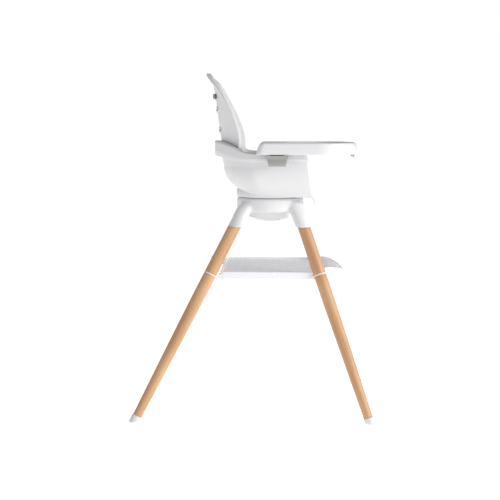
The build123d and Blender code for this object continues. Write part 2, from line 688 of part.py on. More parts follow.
shoulder_route = (
    (-117.4, 901.2),
    (-92.5, 901.2),
    (-87.5, 880.0),
    (-82.5, 850.0),
    (-74.5, 790.0),
    (-55.0, 725.0),
    (-46.0, 680.0),
    (-32.0, 648.0),
    (-12.0, 637.0),
    (BUCKLE_X - BUCKLE_HALF_L, 636.4),
)
WAIST_RUN, WAIST_TURN = 62.0, 62.0
for side_name, side in SIDES.items():
    parts[f"shoulder_strap_{side_name}"] = ribbon(shoulder_route, STRAP_W / 2, side * SLOT_Y)
    waist = block((-WAIST_RUN, -STRAP_W / 2, 0), (0, STRAP_W / 2, STRAP_T))
    waist_end = Pos(BUCKLE_X - 6, side * (BUCKLE_HALF_W + 8), SEAT_PAD_TOP + 0.1)
    parts[f"waist_strap_{side_name}"] = waist_end * Rot(0, 0, -side * WAIST_TURN) * waist
parts["crotch_strap"] = ribbon(
    ((BUCKLE_X + BUCKLE_HALF_L, 636.4), (70, 634.2), (88, SEAT_PAD_TOP + 0.3), (104, SEAT_PAD_TOP + 0.3)),
    STRAP_W / 2,
)
buckle = block(
    (BUCKLE_X - BUCKLE_HALF_L, -BUCKLE_HALF_W, BUCKLE_LOW_Z),
    (BUCKLE_X + BUCKLE_HALF_L, BUCKLE_HALF_W, BUCKLE_TOP_Z),
)
buckle = fillet(buckle.edges().filter_by(Axis.Z), 9)
buckle = fillet(buckle.edges().group_by(Axis.Z)[-1], 3)
wing_y = SLOT_Y + STRAP_W / 2 + 2
wings = block((BUCKLE_X - 16, -wing_y, BUCKLE_LOW_Z), (BUCKLE_X + 4, wing_y, BUCKLE_LOW_Z + 7))
buckle = buckle + fillet(wings.edges().filter_by(Axis.Z), 4)
buckle = buckle - disc(BUTTON_R + 0.35, BUCKLE_TOP_Z - 7, BUCKLE_TOP_Z + 2, BUCKLE_X)
parts["buckle_button"] = disc(BUTTON_R, BUCKLE_TOP_Z - 3.5, BUCKLE_TOP_Z + 1.0, BUCKLE_X)
adjusters = []
for side_name, side in SIDES.items():
    strap = parts[f"shoulder_strap_{side_name}"]
    place = Pos(-50.2, side * SLOT_Y, 705) * Rot(0, -11.3, 0)
    adjusters.append((place * (Box(4.6, STRAP_W + 8, 16) - Box(2.6, STRAP_W + 0.4, 40))).solid())
    buckle = buckle - strap
parts["strap_adjusters"] = Compound(children=adjusters)
parts["buckle_body"] = buckle - parts["crotch_strap"]

retainer = block((-119.6, -50, 892.5), (-111.0, 50, 911.5))
retainer = fillet(retainer.edges().filter_by(Axis.Y).group_by(Axis.X)[0], 2.5)
for side_name in SIDES:
    retainer = retainer - parts[f"shoulder_strap_{side_name}"]
parts["strap_retainer"] = retainer - back

# ---------------------------------------------------------------- tray
TRAY_CORNER_R = 112.0
TRAY_BULGE_R = 520.0
ARM_UNDER_Z = RIM_TOP_Z + 3.2   # the arms' underside, above the armrest rim
RUNNER_CLEAR = 0.4


def tray_plan(inset):
    """The tray from above: rounded in front, with a bay for the child's body behind."""
    length = TRAY_FRONT_X - TRAY_REAR_X
    plan = Pos(TRAY_REAR_X + length / 2, 0) * Rectangle(length - 2 * inset, 2 * (TRAY_HALF_W - inset))
    plan = plan & Pos(TRAY_FRONT_X - TRAY_BULGE_R, 0) * Circle(TRAY_BULGE_R - inset)
    plan = fillet(plan.vertices().group_by(Axis.X)[0], 16 - inset * 0.5)
    plan = fillet(plan.vertices().sort_by(Axis.X)[-2:], TRAY_CORNER_R - inset)
    return plan - Pos(6, 0) * Ellipse(86 + inset, 148 + inset)


def tray_slab(inset, low_z, high_z):
    return Pos(0, 0, low_z) * extrude(tray_plan(inset), amount=high_z - low_z)


RAISED_EDGE, BASIN_DROP = 13.0, 9.0
tray = tray_slab(0, TRAY_SKIRT_Z, TRAY_TOP_Z)
tray = tray - tray_slab(RAISED_EDGE, TRAY_TOP_Z - BASIN_DROP, TRAY_TOP_Z + 1)
tray = tray - tray_slab(TRAY_T, TRAY_SKIRT_Z - 1, TRAY_TOP_Z - BASIN_DROP - TRAY_T)
channel = tray_slab(TRAY_T, TRAY_TOP_Z - BASIN_DROP - TRAY_T - 0.1, TRAY_TOP_Z - TRAY_T)
tray = tray - (channel - tray_slab(RAISED_EDGE - TRAY_T, 700, 800))
tray = tray - block((-50, -186, 700), (160, 186, ARM_UNDER_Z))
rear_slope = [(0, 730), (TRAY_REAR_X - 4, 730), (TRAY_REAR_X + 11, 773), (0, 773)]
tray = tray - prism_y(rear_slope, 220)
for side in SIDES.values():
    low_y, high_y = sorted((side * 163, side * 168))
    tray = tray + block((30, low_y, RIM_TOP_Z + RUNNER_CLEAR), (140, high_y, TRAY_TOP_Z - BASIN_DROP - 1))
grip_ring = tray_slab(0, TRAY_SKIRT_Z - 14, TRAY_SKIRT_Z + 1) - tray_slab(4.5, 700, 800)
tray = tray + (grip_ring & block((250, -75, 700), (320, 75, 800)))

# ---------------------------------------------------------------- tray latches
LATCH_TOP_Z, LATCH_LOW_Z = 734.2, 705.4
LATCH_FACE_Y = 207.0
PIVOT_Y, PIVOT_Z = 193.5, 751.0
STEM_HALF_L = 20.0
PIN_R = 2.0


def latch(side):
    """A grey squeeze latch: a tapered paddle outside, a hook under the armrest rim inside."""
    paddle_outline = [
        (LATCH_X - 29.5, LATCH_TOP_Z),
        (LATCH_X + 29.5, LATCH_TOP_Z),
        (LATCH_X + 23.5, LATCH_LOW_Z),
        (LATCH_X - 23.5, LATCH_LOW_Z),
    ]
    paddle = Pos(0, side * (LATCH_FACE_Y - 4), 0) * prism_y(paddle_outline, 4)
    low_y, high_y = sorted((side * (LATCH_FACE_Y - 8), side * (LATCH_FACE_Y - 3.5)))
    shape = paddle - block((LATCH_X - 21, low_y, LATCH_LOW_Z + 3), (LATCH_X + 21, high_y, LATCH_TOP_Z - 8))
    stem = (PIVOT_Y - 2.5, PIVOT_Y + 2.5, 710, PIVOT_Z)
    bridge = (PIVOT_Y, LATCH_FACE_Y - 7, 714, 733)
    hook = (169.5, PIVOT_Y, 708, 713)
    low_x, high_x = LATCH_X - STEM_HALF_L, LATCH_X + STEM_HALF_L
    for inner_y, outer_y, low_z, high_z in (stem, bridge, hook):
        low_y, high_y = sorted((side * inner_y, side * outer_y))
        shape = shape + block((low_x, low_y, low_z), (high_x, high_y, high_z))
    along_x = Pos(LATCH_X, side * PIVOT_Y, PIVOT_Z) * Rot(0, 90, 0)
    shape = shape + along_x * Cylinder(4.5, 2 * STEM_HALF_L)
    shape = shape - along_x * Cylinder(6.5, 14)
    return shape - along_x * Cylinder(PIN_R + RUNNING, 100)


pins, coils = [], []
for side_name, side in SIDES.items():
    along_x = Pos(LATCH_X, side * PIVOT_Y, PIVOT_Z) * Rot(0, 90, 0)
    parts[f"tray_latch_{side_name}"] = latch(side)
    pin = (along_x * Cylinder(PIN_R, 2 * STEM_HALF_L + 12)).solid()
    pins.append(pin)
    for end in (-1, 1):
        low_x, high_x = sorted((LATCH_X + end * (STEM_HALF_L + 0.6), LATCH_X + end * (STEM_HALF_L + 6)))
        low_y, high_y = sorted((side * (PIVOT_Y - 6), side * (TRAY_HALF_W - 1)))
        tray = tray + block((low_x, low_y, PIVOT_Z - 6), (high_x, high_y, TRAY_TOP_Z - TRAY_T + 0.5))
    for turn in range(5):
        coil = Pos(LATCH_X - 4 + 2 * turn, side * PIVOT_Y, PIVOT_Z) * Rot(0, 90, 0) * Torus(3.1, 0.7)
        coils.append(coil.solid())
for pin in pins:
    tray = tray - pin
parts["latch_pins"] = Compound(children=pins)
parts["latch_springs"] = Compound(children=coils)
parts["tray_body"] = tray

parts["back_pad"] = back_pad
parts["seat_pad"] = seat_pad
parts["seat_bucket"] = bucket

os.makedirs("parts", exist_ok=True)
for name, shape in parts.items():
    export_step(shape, f"parts/{name}.step")
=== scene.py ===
"""The high chair's looks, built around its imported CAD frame.

Lengths in this script are millimetres, turned into Blender's metres by MM. +X is the way the child
faces, +Y is to the child's left and +Z is up.
"""

import json
import math

import bmesh
import bpy
import numpy as np
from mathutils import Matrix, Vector


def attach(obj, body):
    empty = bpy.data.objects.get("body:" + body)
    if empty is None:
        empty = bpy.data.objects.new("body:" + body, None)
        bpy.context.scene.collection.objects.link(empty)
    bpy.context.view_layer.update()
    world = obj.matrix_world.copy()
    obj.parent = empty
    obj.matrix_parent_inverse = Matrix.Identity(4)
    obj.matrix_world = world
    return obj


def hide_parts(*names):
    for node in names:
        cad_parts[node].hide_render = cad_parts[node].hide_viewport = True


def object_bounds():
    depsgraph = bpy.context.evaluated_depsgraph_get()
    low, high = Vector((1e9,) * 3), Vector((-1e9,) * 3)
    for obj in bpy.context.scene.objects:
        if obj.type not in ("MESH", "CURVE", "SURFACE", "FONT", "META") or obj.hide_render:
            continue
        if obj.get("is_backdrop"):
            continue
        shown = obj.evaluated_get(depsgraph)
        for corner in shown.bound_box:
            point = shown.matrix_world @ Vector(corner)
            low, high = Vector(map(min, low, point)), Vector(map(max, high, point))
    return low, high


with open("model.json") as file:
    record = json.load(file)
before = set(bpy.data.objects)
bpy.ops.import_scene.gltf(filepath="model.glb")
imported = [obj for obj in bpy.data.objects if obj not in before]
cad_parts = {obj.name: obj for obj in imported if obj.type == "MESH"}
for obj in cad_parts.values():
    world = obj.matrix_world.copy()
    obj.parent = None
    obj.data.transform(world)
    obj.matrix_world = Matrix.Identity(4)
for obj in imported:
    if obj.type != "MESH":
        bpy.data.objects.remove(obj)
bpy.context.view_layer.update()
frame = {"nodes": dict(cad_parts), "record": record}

MM = 0.001
SIDES = {"left": 1, "right": -1}
ENDS = ("front", "rear")

# ---------------------------------------------------------------- dimensions, as in the CAD
SWIVEL_X = 49.0
LEG_R, LEG_FOOT_R = 17.7, 12.5
SOCKET_Z, FOOTREST_Z = 527.0, 394.0
TENON_R, TENON_TOP_Z = 12.5, 566.0
SOCKET_Y, REAR_SOCKET_X, FRONT_SOCKET_X = 105.0, -53.4, 147.5
SPLAY_Y, REAR_RAKE, FRONT_RAKE = 0.338, 0.516, 0.346
EYELET_T = 3.0
FOOT_CAP_TOP_Z = 15.0
HUB_R, HUB_LOW_Z, HUB_TOP_Z = 100.0, 566.0, 608.0

BUCKET_TOP_Z, BUCKET_BEND_Z, BUCKET_LOW_Z = 739.0, 700.0, 612.5
BUCKET_PITCH, PITCH_X = 1.5, 60.0      # the bottom runs down towards the front
BUCKET_HALF_W, BUCKET_T = 159.0, 3.5
LIP_Z = 640.0
RIM_MID_X, RIM_FRONT_X, RIM_TOP_Z = 10.0, 150.0, 739.0
TRAY_REAR_X, TRAY_FRONT_X, TRAY_HALF_W = 11.5, 303.0, 205.0
TRAY_SKIRT_Z, TRAY_TOP_Z, TRAY_ARM_Z, BASIN_Z = 736.6, 769.0, 742.2, 760.0
LATCH_X = 69.5
SLOT_Y, SLOT_ZS = 38.0, (805.0, 864.0, 902.0)
STRAP_W, STRAP_T = 20.0, 1.6
BUCKLE_X = 34.0
SEAT_PAD_TOP = 631.0


# ---------------------------------------------------------------- curves
def hermite(xs, ys, x):
    """A smooth curve through the points (xs, ys), read at x."""
    xs, ys = np.asarray(xs, float), np.asarray(ys, float)
    slopes = np.gradient(ys, xs)
    i = int(np.clip(np.searchsorted(xs, x) - 1, 0, len(xs) - 2))
    h = xs[i + 1] - xs[i]
    t = float(np.clip((x - xs[i]) / h, 0, 1))
    a, b = 2 * t**3 - 3 * t**2 + 1, t**3 - 2 * t**2 + t
    c, d = -2 * t**3 + 3 * t**2, t**3 - t**2
    return a * ys[i] + b * h * slopes[i] + c * ys[i + 1] + d * h * slopes[i + 1]


def smooth_line(points, count):
    """count points, evenly spaced, on a smooth curve through the given ones."""
    points = [np.array(p, float) for p in points]
    chord = np.cumsum([0] + [np.linalg.norm(b - a) for a, b in zip(points, points[1:])])
    columns = [[hermite(chord, [p[k] for p in points], s) for s in np.linspace(0, chord[-1], count * 4)]
               for k in range(len(points[0]))]
    dense = np.array(columns).T
    length = np.concatenate([[0], np.cumsum(np.linalg.norm(np.diff(dense, axis=0), axis=1))])
    at = np.linspace(0, length[-1], count)
    return np.array([np.interp(at, length, dense[:, k]) for k in range(dense.shape[1])]).T


def ease(low, high, x):
    """0 up to low, 1 from high on, and a smooth rise between."""
    t = min(max((x - low) / (high - low), 0.0), 1.0)
    return t * t * (3 - 2 * t)


# ---------------------------------------------------------------- meshes
def new_object(name, bm):
    """An object in the scene from a bmesh in millimetres, which is freed."""
    bmesh.ops.recalc_face_normals(bm, faces=bm.faces)
    bmesh.ops.scale(bm, vec=(MM, MM, MM), verts=bm.verts)
    mesh = bpy.data.meshes.new(name)
    bm.to_mesh(mesh)
    bm.free()
    made = bpy.data.objects.new(name, mesh)
    bpy.context.scene.collection.objects.link(made)
    return made


def finish_mesh(name, bm, body, slot, stands_for=()):
    """A bmesh in millimetres made a shown piece that rides on a body."""
    piece = new_object(name, bm)
    for polygon in piece.data.polygons:
        polygon.use_smooth = True
    piece.data.materials.append(MATERIALS[slot])
    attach(piece, body)
    if stands_for:
        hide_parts(*stands_for)
    return piece


def bridge(bm, rings, closed=True):
    """Rings of points with equal counts, joined by faces. Returns the rings' vertices."""
    rows = [[bm.verts.new(p) for p in ring] for ring in rings]
    count = len(rows[0])
    for low, high in zip(rows, rows[1:]):
        for i in range(count if closed else count - 1):
            j = (i + 1) % count
            bm.faces.new((low[i], low[j], high[j], high[i]))
    return rows


def lofted(rings):
    """A skin over rings of points, closed at both ends."""
    bm = bmesh.new()
    rows = bridge(bm, rings)
    bm.faces.new(rows[0][::-1])
    bm.faces.new(rows[-1])
    return bm


def rounded_box_section(half_u, half_v, radius, steps=4):
    """A rounded rectangle about the origin, as (u, v) points."""
    points = []
    for k in range(4):
        cu = (half_u - radius) * (1 if k in (0, 3) else -1)
        cv = (half_v - radius) * (1 if k in (0, 1) else -1)
        for step in range(steps + 1):
            a = math.radians(90 * k + 90 * step / steps)
            points.append((cu + radius * math.cos(a), cv + radius * math.sin(a)))
    return points


def rounded_block(low, high, radius):
    """A block with every edge rounded, as a bmesh in millimetres."""
    steps = 4
    cx, cy, cz = [(a + b) / 2 for a, b in zip(low, high)]
    hx, hy, hz = [(b - a) / 2 for a, b in zip(low, high)]
    radius = min(radius, hx * 0.98, hy * 0.98, hz * 0.98)
    rings = []
    for end in (-1, 1):
        turns = range(steps + 1) if end < 0 else range(steps, -1, -1)
        for step in turns:
            a = math.radians(90 * step / steps)
            inset = radius * (1 - math.sin(a))
            z = cz + end * (hz - radius * (1 - math.cos(a)))
            outline = rounded_box_section(hx - inset, hy - inset, max(radius - inset, 0.02), steps)
            rings.append([(cx + u, cy + v, z) for u, v in outline])
    return lofted(rings)


def merge(target, extra):
    """Adds one bmesh's geometry to another, and frees it."""
    mesh = bpy.data.meshes.new("merging")
    extra.to_mesh(mesh)
    extra.free()
    target.from_mesh(mesh)
    bpy.data.meshes.remove(mesh)


def apply_modifiers(piece):
    """Turns a piece's modifiers into its mesh."""
    graph = bpy.context.evaluated_depsgraph_get()
    graph.update()
    made = bpy.data.meshes.new_from_object(piece.evaluated_get(graph))
    old = piece.data
    piece.modifiers.clear()
    piece.data = made
    bpy.data.meshes.remove(old)
    for polygon in piece.data.polygons:
        polygon.use_smooth = True


def store_local(piece, points):
    """Keeps each vertex's place along and round its own piece, for grain and weave to follow."""
    attribute = piece.data.attributes.new("local", "FLOAT_VECTOR", "POINT")
    attribute.data.foreach_set("vector", (np.array(points, float) * MM).astype(np.float32).ravel())


# ---------------------------------------------------------------- materials
def feed(tree, node, inputs):
    """Links a node's inputs to other nodes' sockets, or sets them to values."""
    for key, value in inputs.items():
        if isinstance(value, bpy.types.NodeSocket):
            tree.links.new(value, node.inputs[key])
        else:
            node.inputs[key].default_value = value


def add_node(tree, kind, inputs=(), **settings):
    node = tree.nodes.new(kind)
    for key, value in settings.items():
        setattr(node, key, value)
    feed(tree, node, dict(inputs))
    return node


def new_material(name):
    """A material, its node tree and its surface shader."""
    material = bpy.data.materials.new(name)
    material.use_nodes = True
    tree = material.node_tree
    return material, tree, tree.nodes["Principled BSDF"]


def noise(tree, vector, scale, detail=2.0, roughness=0.5):
    inputs = {"Vector": vector, "Scale": scale, "Detail": detail, "Roughness": roughness}
    return add_node(tree, "ShaderNodeTexNoise", inputs).outputs["Fac"]


def stretch(tree, vector, scale):
    return add_node(tree, "ShaderNodeMapping", {"Vector": vector, "Scale": scale}).outputs["Vector"]


def remap(tree, value, low, high, from_low=0.0, from_high=1.0):
    inputs = {"Value": value, "From Min": from_low, "From Max": from_high, "To Min": low, "To Max": high}
    return add_node(tree, "ShaderNodeMapRange", inputs).outputs["Result"]


def calc(tree, operation, a, b):
    return add_node(tree, "ShaderNodeMath", {0: a, 1: b}, operation=operation).outputs[0]


def mix_colour(tree, factor, a, b):
    node = add_node(tree, "ShaderNodeMix", data_type="RGBA")
    feed(tree, node, {0: factor, 6: a, 7: b})
    return node.outputs[2]


def bump(tree, height, distance, strength=1.0, below=None):
    inputs = {"Height": height, "Distance": distance, "Strength": strength}
    if below is not None:
        inputs["Normal"] = below
    return add_node(tree, "ShaderNodeBump", inputs).outputs["Normal"]


def shade(colour, factor):
    return (colour[0] * factor, colour[1] * factor, colour[2] * factor, 1.0)


def moulded_plastic(name, colour, roughness, texture=0.00006, pitch=1600.0, edge=1.03):
    """Moulded plastic: a faint cloudiness, a fine spark texture, a painted highlight on convex edges,
    hairline scratches.
    """
    material, tree, surface = new_material(name)
    place = add_node(tree, "ShaderNodeTexCoord").outputs["Object"]
    cloud = noise(tree, place, 14.0, 3.0)
    base = mix_colour(tree, cloud, shade(colour, 0.965), shade(colour, 1.0))
    # painted highlight: convex edges are painted lighter by the factor edge, standing in for light caught on
    # the edges
    edge_pointiness = add_node(tree, "ShaderNodeNewGeometry").outputs["Pointiness"]
    edge_highlight = remap(tree, edge_pointiness, 0.0, 0.55, 0.51, 0.60)
    base = mix_colour(tree, edge_highlight, base, shade(colour, edge))
    patches = noise(tree, place, 45.0, 4.0, 0.6)
    scratches = noise(tree, stretch(tree, place, (900.0, 900.0, 12.0)), 1.0, 2.0)
    marks = remap(tree, scratches, 0.0, 0.10, 0.66, 0.78)
    rough = calc(tree, "ADD", remap(tree, patches, roughness - 0.05, roughness + 0.06), marks)
    grain = noise(tree, place, pitch, 2.0)
    fine = bump(tree, grain, texture, 0.35)
    wavy = bump(tree, noise(tree, place, 22.0, 1.0), 0.0006, 0.06, fine)
    feed(tree, surface, {"Base Color": base, "Roughness": rough, "Normal": wavy, "Specular IOR Level": 0.45})
    return material


def beech(name):
    """Lacquered beech: growth streaks along the leg, short dark flecks, slow tone changes."""
    material, tree, surface = new_material(name)
    local = add_node(tree, "ShaderNodeAttribute", attribute_name="local").outputs["Vector"]
    warp = noise(tree, stretch(tree, local, (30.0, 30.0, 3.0)), 1.0, 2.0)
    streaks = noise(tree, stretch(tree, local, (230.0, 230.0, 5.0)), 1.0, 5.0, 0.62)
    tone = remap(tree, calc(tree, "ADD", streaks, calc(tree, "MULTIPLY", warp, 0.7)), 0.0, 1.0, 0.55, 1.15)
    light, dark = (0.760, 0.450, 0.240, 1.0), (0.520, 0.265, 0.120, 1.0)
    base = mix_colour(tree, tone, light, dark)
    pale = noise(tree, stretch(tree, local, (14.0, 14.0, 6.0)), 1.0, 1.0)
    base = mix_colour(tree, remap(tree, pale, 0.0, 0.4, 0.45, 0.75), base, (0.82, 0.53, 0.31, 1.0))
    flecks = noise(tree, stretch(tree, local, (1500.0, 1500.0, 190.0)), 1.0, 1.0)
    fleck = remap(tree, flecks, 0.0, 0.55, 0.63, 0.72)
    base = mix_colour(tree, fleck, base, (0.30, 0.145, 0.065, 1.0))
    rough = remap(tree, streaks, 0.42, 0.58, 0.3, 0.8)
    grain = bump(tree, streaks, 0.00012, 0.4, bump(tree, fleck, 0.00008, 0.5))
    feed(tree, surface, {"Base Color": base, "Roughness": rough, "Normal": grain,
                         "Coat Weight": 0.12, "Coat Roughness": 0.35})
    return material


def upholstery(name, colour):
    """Wipe-clean ivory cloth: a plain weave under a soft coating, with gentle creases."""
    material, tree, surface = new_material(name)
    place = add_node(tree, "ShaderNodeTexCoord").outputs["Object"]
    threads = {"Vector": place, "Scale": 210.0, "Distortion": 0.6}
    warp, weft = [add_node(tree, "ShaderNodeTexWave", threads, bands_direction=way).outputs["Fac"]
                  for way in ("Y", "DIAGONAL")]
    weave = calc(tree, "MULTIPLY", warp, weft)
    soil = noise(tree, place, 12.0, 4.0)
    base = mix_colour(tree, remap(tree, soil, 0.0, 1.0, 0.3, 0.7), shade(colour, 0.93), shade(colour, 1.0))
    base = mix_colour(tree, remap(tree, weave, 0.0, 0.16, 0.5, 0.0), base, shade(colour, 0.78))
    creases = bump(tree, noise(tree, place, 38.0, 3.0), 0.0012, 0.22, bump(tree, weave, 0.00025, 0.45))
    feed(tree, surface, {"Base Color": base, "Roughness": remap(tree, soil, 0.52, 0.66), "Normal": creases,
                         "Sheen Weight": 0.15, "Sheen Roughness": 0.5})
    return material


def webbing_material(name, colour):
    """Woven polyester webbing: ribs across and a chevron in the threads."""
    material, tree, surface = new_material(name)
    local = add_node(tree, "ShaderNodeAttribute", attribute_name="local").outputs["Vector"]
    parts = add_node(tree, "ShaderNodeSeparateXYZ", {"Vector": local})
    across, along = parts.outputs["X"], parts.outputs["Z"]
    slant = calc(tree, "ADD", along, calc(tree, "ABSOLUTE", calc(tree, "PINGPONG", across, 0.0025), 0.0))
    ribs = calc(tree, "SINE", calc(tree, "MULTIPLY", slant, 2 * math.pi / 0.0013), 0.0)
    threads = calc(tree, "SINE", calc(tree, "MULTIPLY", across, 2 * math.pi / 0.0009), 0.0)
    weave = calc(tree, "ADD", calc(tree, "MULTIPLY", ribs, 0.7), calc(tree, "MULTIPLY", threads, 0.3))
    base = mix_colour(tree, remap(tree, weave, 0.0, 1.0, -1.0, 1.0), shade(colour, 0.62), shade(colour, 1.05))
    fuzz = noise(tree, local, 2500.0, 2.0)
    base = mix_colour(tree, remap(tree, fuzz, 0.0, 0.3, 0.5, 0.8), base, shade(colour, 1.35))
    feed(tree, surface, {"Base Color": base, "Normal": bump(tree, weave, 0.00022, 0.8),
                         "Roughness": 0.82, "Sheen Weight": 0.25})
    return material


def clear_plastic(name, tint, transmission, roughness):
    """Clear moulded plastic, faintly tinted, with fine scuffs from shoes and a faint painted glow."""
    material, tree, surface = new_material(name)
    place = add_node(tree, "ShaderNodeTexCoord").outputs["Object"]
    haze = noise(tree, place, 30.0, 5.0, 0.6)
    base = mix_colour(tree, haze, shade(tint, 0.97), shade(tint, 1.0))
    scuffs = noise(tree, stretch(tree, place, (40.0, 900.0, 60.0)), 1.0, 3.0)
    rough = calc(tree, "ADD", remap(tree, haze, roughness, roughness + 0.08),
                 remap(tree, scuffs, 0.0, 0.16, 0.62, 0.75))
    feed(tree, surface, {"Base Color": base, "Roughness": rough, "Normal": bump(tree, haze, 0.0004, 0.15),
                         # painted light: a faint emission in the tint makes the clear plastic glow as bright
                         # as the backdrop behind it
                         "Transmission Weight": transmission, "IOR": 1.46,
                         "Emission Color": (*tint, 1.0), "Emission Strength": 0.08})
    return material


def plated_steel(name, colour, roughness):
    """Zinc-plated steel: brushed streaks and cloudy passivation."""
    material, tree, surface = new_material(name)
    place = add_node(tree, "ShaderNodeTexCoord").outputs["Object"]
    brushed = noise(tree, stretch(tree, place, (2600.0, 160.0, 2600.0)), 1.0, 3.0)
    cloud = noise(tree, place, 220.0, 3.0)
    base = mix_colour(tree, cloud, shade(colour, 0.82), shade(colour, 1.08))
    rough = remap(tree, brushed, roughness - 0.08, roughness + 0.12)
    feed(tree, surface, {"Base Color": base, "Roughness": rough, "Normal": bump(tree, brushed, 0.00003, 0.4),
                         "Metallic": 1.0})
    return material


WHITE = (0.80, 0.80, 0.81)
LOOKS = {
    # hub_white is the seat's white plastic set lighter: painted light standing in for the bright light from
    # the floor under the seat
    "hub_white": (moulded_plastic, (0.86, 0.86, 0.865), 0.34),
    "seat_white": (moulded_plastic, WHITE, 0.36),
    "tray_white": (moulded_plastic, (0.82, 0.82, 0.84), 0.22, 0.00003),
    "steel": (plated_steel, (0.62, 0.63, 0.65), 0.32),
    "spring_steel": (plated_steel, (0.48, 0.49, 0.51), 0.28),
    "bearing_plastic": (moulded_plastic, (0.78, 0.77, 0.72), 0.4),
    "beech": (beech,),
    "foot_plastic": (moulded_plastic, (0.86, 0.86, 0.86), 0.5, 0.0001, 900.0),
    "clear_plastic": (clear_plastic, (0.94, 0.945, 0.98), 0.16, 0.2),
    "tread": (moulded_plastic, (0.80, 0.805, 0.80), 0.6, 0.00012, 700.0),
    "pad_fabric": (upholstery, (0.83, 0.815, 0.765)),
    "webbing": (webbing_material, (0.33, 0.33, 0.325)),
    "buckle_grey": (moulded_plastic, (0.17, 0.17, 0.172), 0.42, 0.0001, 900.0, 1.5),
    "button_grey": (moulded_plastic, (0.36, 0.37, 0.36), 0.38, 0.00008, 1000.0, 1.2),
    "retainer_dark": (moulded_plastic, (0.30, 0.30, 0.305), 0.45, 0.0001, 900.0, 1.4),
    "latch_grey": (moulded_plastic, (0.36, 0.37, 0.35), 0.4, 0.0001, 900.0, 1.15),
}
MATERIALS = {slot: maker(slot, *settings) for slot, (maker, *settings) in LOOKS.items()}
SLOT_OF = {row["node"]: row["material_slot"] for row in frame["record"]["subparts"]}


# ---------------------------------------------------------------- legs
def leg_axis(end, side, z):
    """The point of a leg's axis at height z, and the unit vector down the leg."""
    rake = FRONT_RAKE if end == "front" else -REAR_RAKE
    start_x = FRONT_SOCKET_X if end == "front" else REAR_SOCKET_X
    drop = SOCKET_Z - z
    point = Vector((start_x + rake * drop, side * (SOCKET_Y + SPLAY_Y * drop), z))
    return point, Vector((rake, side * SPLAY_Y, -1)).normalized()


LEG_SIDES = 48
TAPER_Z = FOOTREST_Z - 60


def leg_radius(z):
    """The leg's radius where its axis is at height z."""
    if z >= TAPER_Z:
        return LEG_R
    return LEG_R - (LEG_R - LEG_FOOT_R) * ((TAPER_Z - z) / TAPER_Z) ** 1.25


def leg_ring(end, side, z, radius, level=False):
    """A ring round a leg: square to it, or cut level with the floor at height z."""
    point, down = leg_axis(end, side, z)
    u = Vector((0, 1, 0)).cross(down).normalized()
    v = down.cross(u)
    ring, local = [], []
    start = leg_axis(end, side, TENON_TOP_Z)[0]
    for i in range(LEG_SIDES):
        a = 2 * math.pi * i / LEG_SIDES
        p = point + (u * math.cos(a) + v * math.sin(a)) * radius
        if level:
            p = p + down * ((p.z - z) / -down.z)
        ring.append(p)
        local.append((radius * math.cos(a), radius * math.sin(a), (p - start).dot(down)))
    return ring, local


def leg_piece(name, end, side, rings, seed):
    """One length of a leg over rings of (height, radius, cut level)."""
    made = [leg_ring(end, side, z, radius, level) for z, radius, level in rings]
    bm = lofted([ring for ring, _ in made])
    piece = finish_mesh(name, bm, "base", "beech", [name.removesuffix("_wood")])
    offset = 130.0 * seed
    points = [(x + offset, y + offset * 0.7, s + offset) for _, local in made for x, y, s in local]
    store_local(piece, points)


TENON_TIP = [(TENON_TOP_Z, TENON_R - 6.0, False), (TENON_TOP_Z - 7.0, TENON_R - 1.5, False)]
TENON = TENON_TIP + [(SOCKET_Z + 9, TENON_R, False), (SOCKET_Z, TENON_R, True)]
SHOULDER = [(SOCKET_Z, LEG_R - 0.3, True), (SOCKET_Z - 0.5, LEG_R, True), (SOCKET_Z - 12, LEG_R, False)]
FOOT_CAP = [(FOOT_CAP_TOP_Z - 2, 12.75, False), (FOOT_CAP_TOP_Z, 13.4, False),
            (FOOT_CAP_TOP_Z - 0.5, 14.3, False), (FOOT_CAP_TOP_Z - 1.6, 14.7, False),
            (6.0, 14.4, True), (2.0, 14.1, True), (0.6, 13.6, True), (0.0, 12.4, True)]
seed = 0
for end in ENDS:
    for side_name, side in SIDES.items():
        tag = f"{end}_{side_name}"
        slope = -leg_axis(end, side, 0)[1].z
        seam_high = FOOTREST_Z + EYELET_T / 2 * slope
        seam_low = FOOTREST_Z - EYELET_T / 2 * slope
        upper = TENON + SHOULDER + [(z, LEG_R, False) for z in (490.0, 450.0, 415.0)]
        upper += [(seam_high + 0.9, LEG_R, False), (seam_high + 0.3, LEG_R - 0.25, False)]
        upper += [(seam_high, LEG_R - 0.8, False)]
        leg_piece(f"upper_leg_{tag}_wood", end, side, upper, seed + 1)
        lower = [(seam_low, LEG_R - 0.8, False), (seam_low - 0.3, LEG_R - 0.25, False)]
        lower += [(seam_low - 0.9, LEG_R, False)]
        lower += [(z, leg_radius(z), False) for z in np.linspace(360, 20, 18)]
        lower += [(5.0, leg_radius(5.0) - 0.2, False)]
        leg_piece(f"lower_leg_{tag}_wood", end, side, lower, seed + 2)
        rings = [leg_ring(end, side, z, radius, level)[0] for z, radius, level in FOOT_CAP]
        finish_mesh(f"foot_cap_{tag}_sleeve", lofted(rings), "base", "foot_plastic",
                    [f"foot_cap_{tag}"])
        seed += 2


# ---------------------------------------------------------------- hub
def socket_levels(end):
    """Height, axis X, axis Y and the two radii of a leg socket, from its mouth to inside the hub."""
    if end == "front":
        return [(527, 145.8, 100.3, 22.4, 24.3), (548, 139.0, 92.0, 24.2, 24.2),
                (566, 132.8, 84.0, 25.8, 24.0), (582, 128.0, 71.0, 24.5, 22.5),
                (597, 119.0, 58.0, 20.0, 19.0)]
    return [(527, -45.2, 100.3, 25.2, 24.3), (548, -38.5, 92.0, 24.2, 24.2), (566, -31.5, 84.0, 23.5, 24.0),
            (582, -23.5, 73.0, 22.5, 22.5), (597, -9.0, 60.0, 20.0, 19.0)]


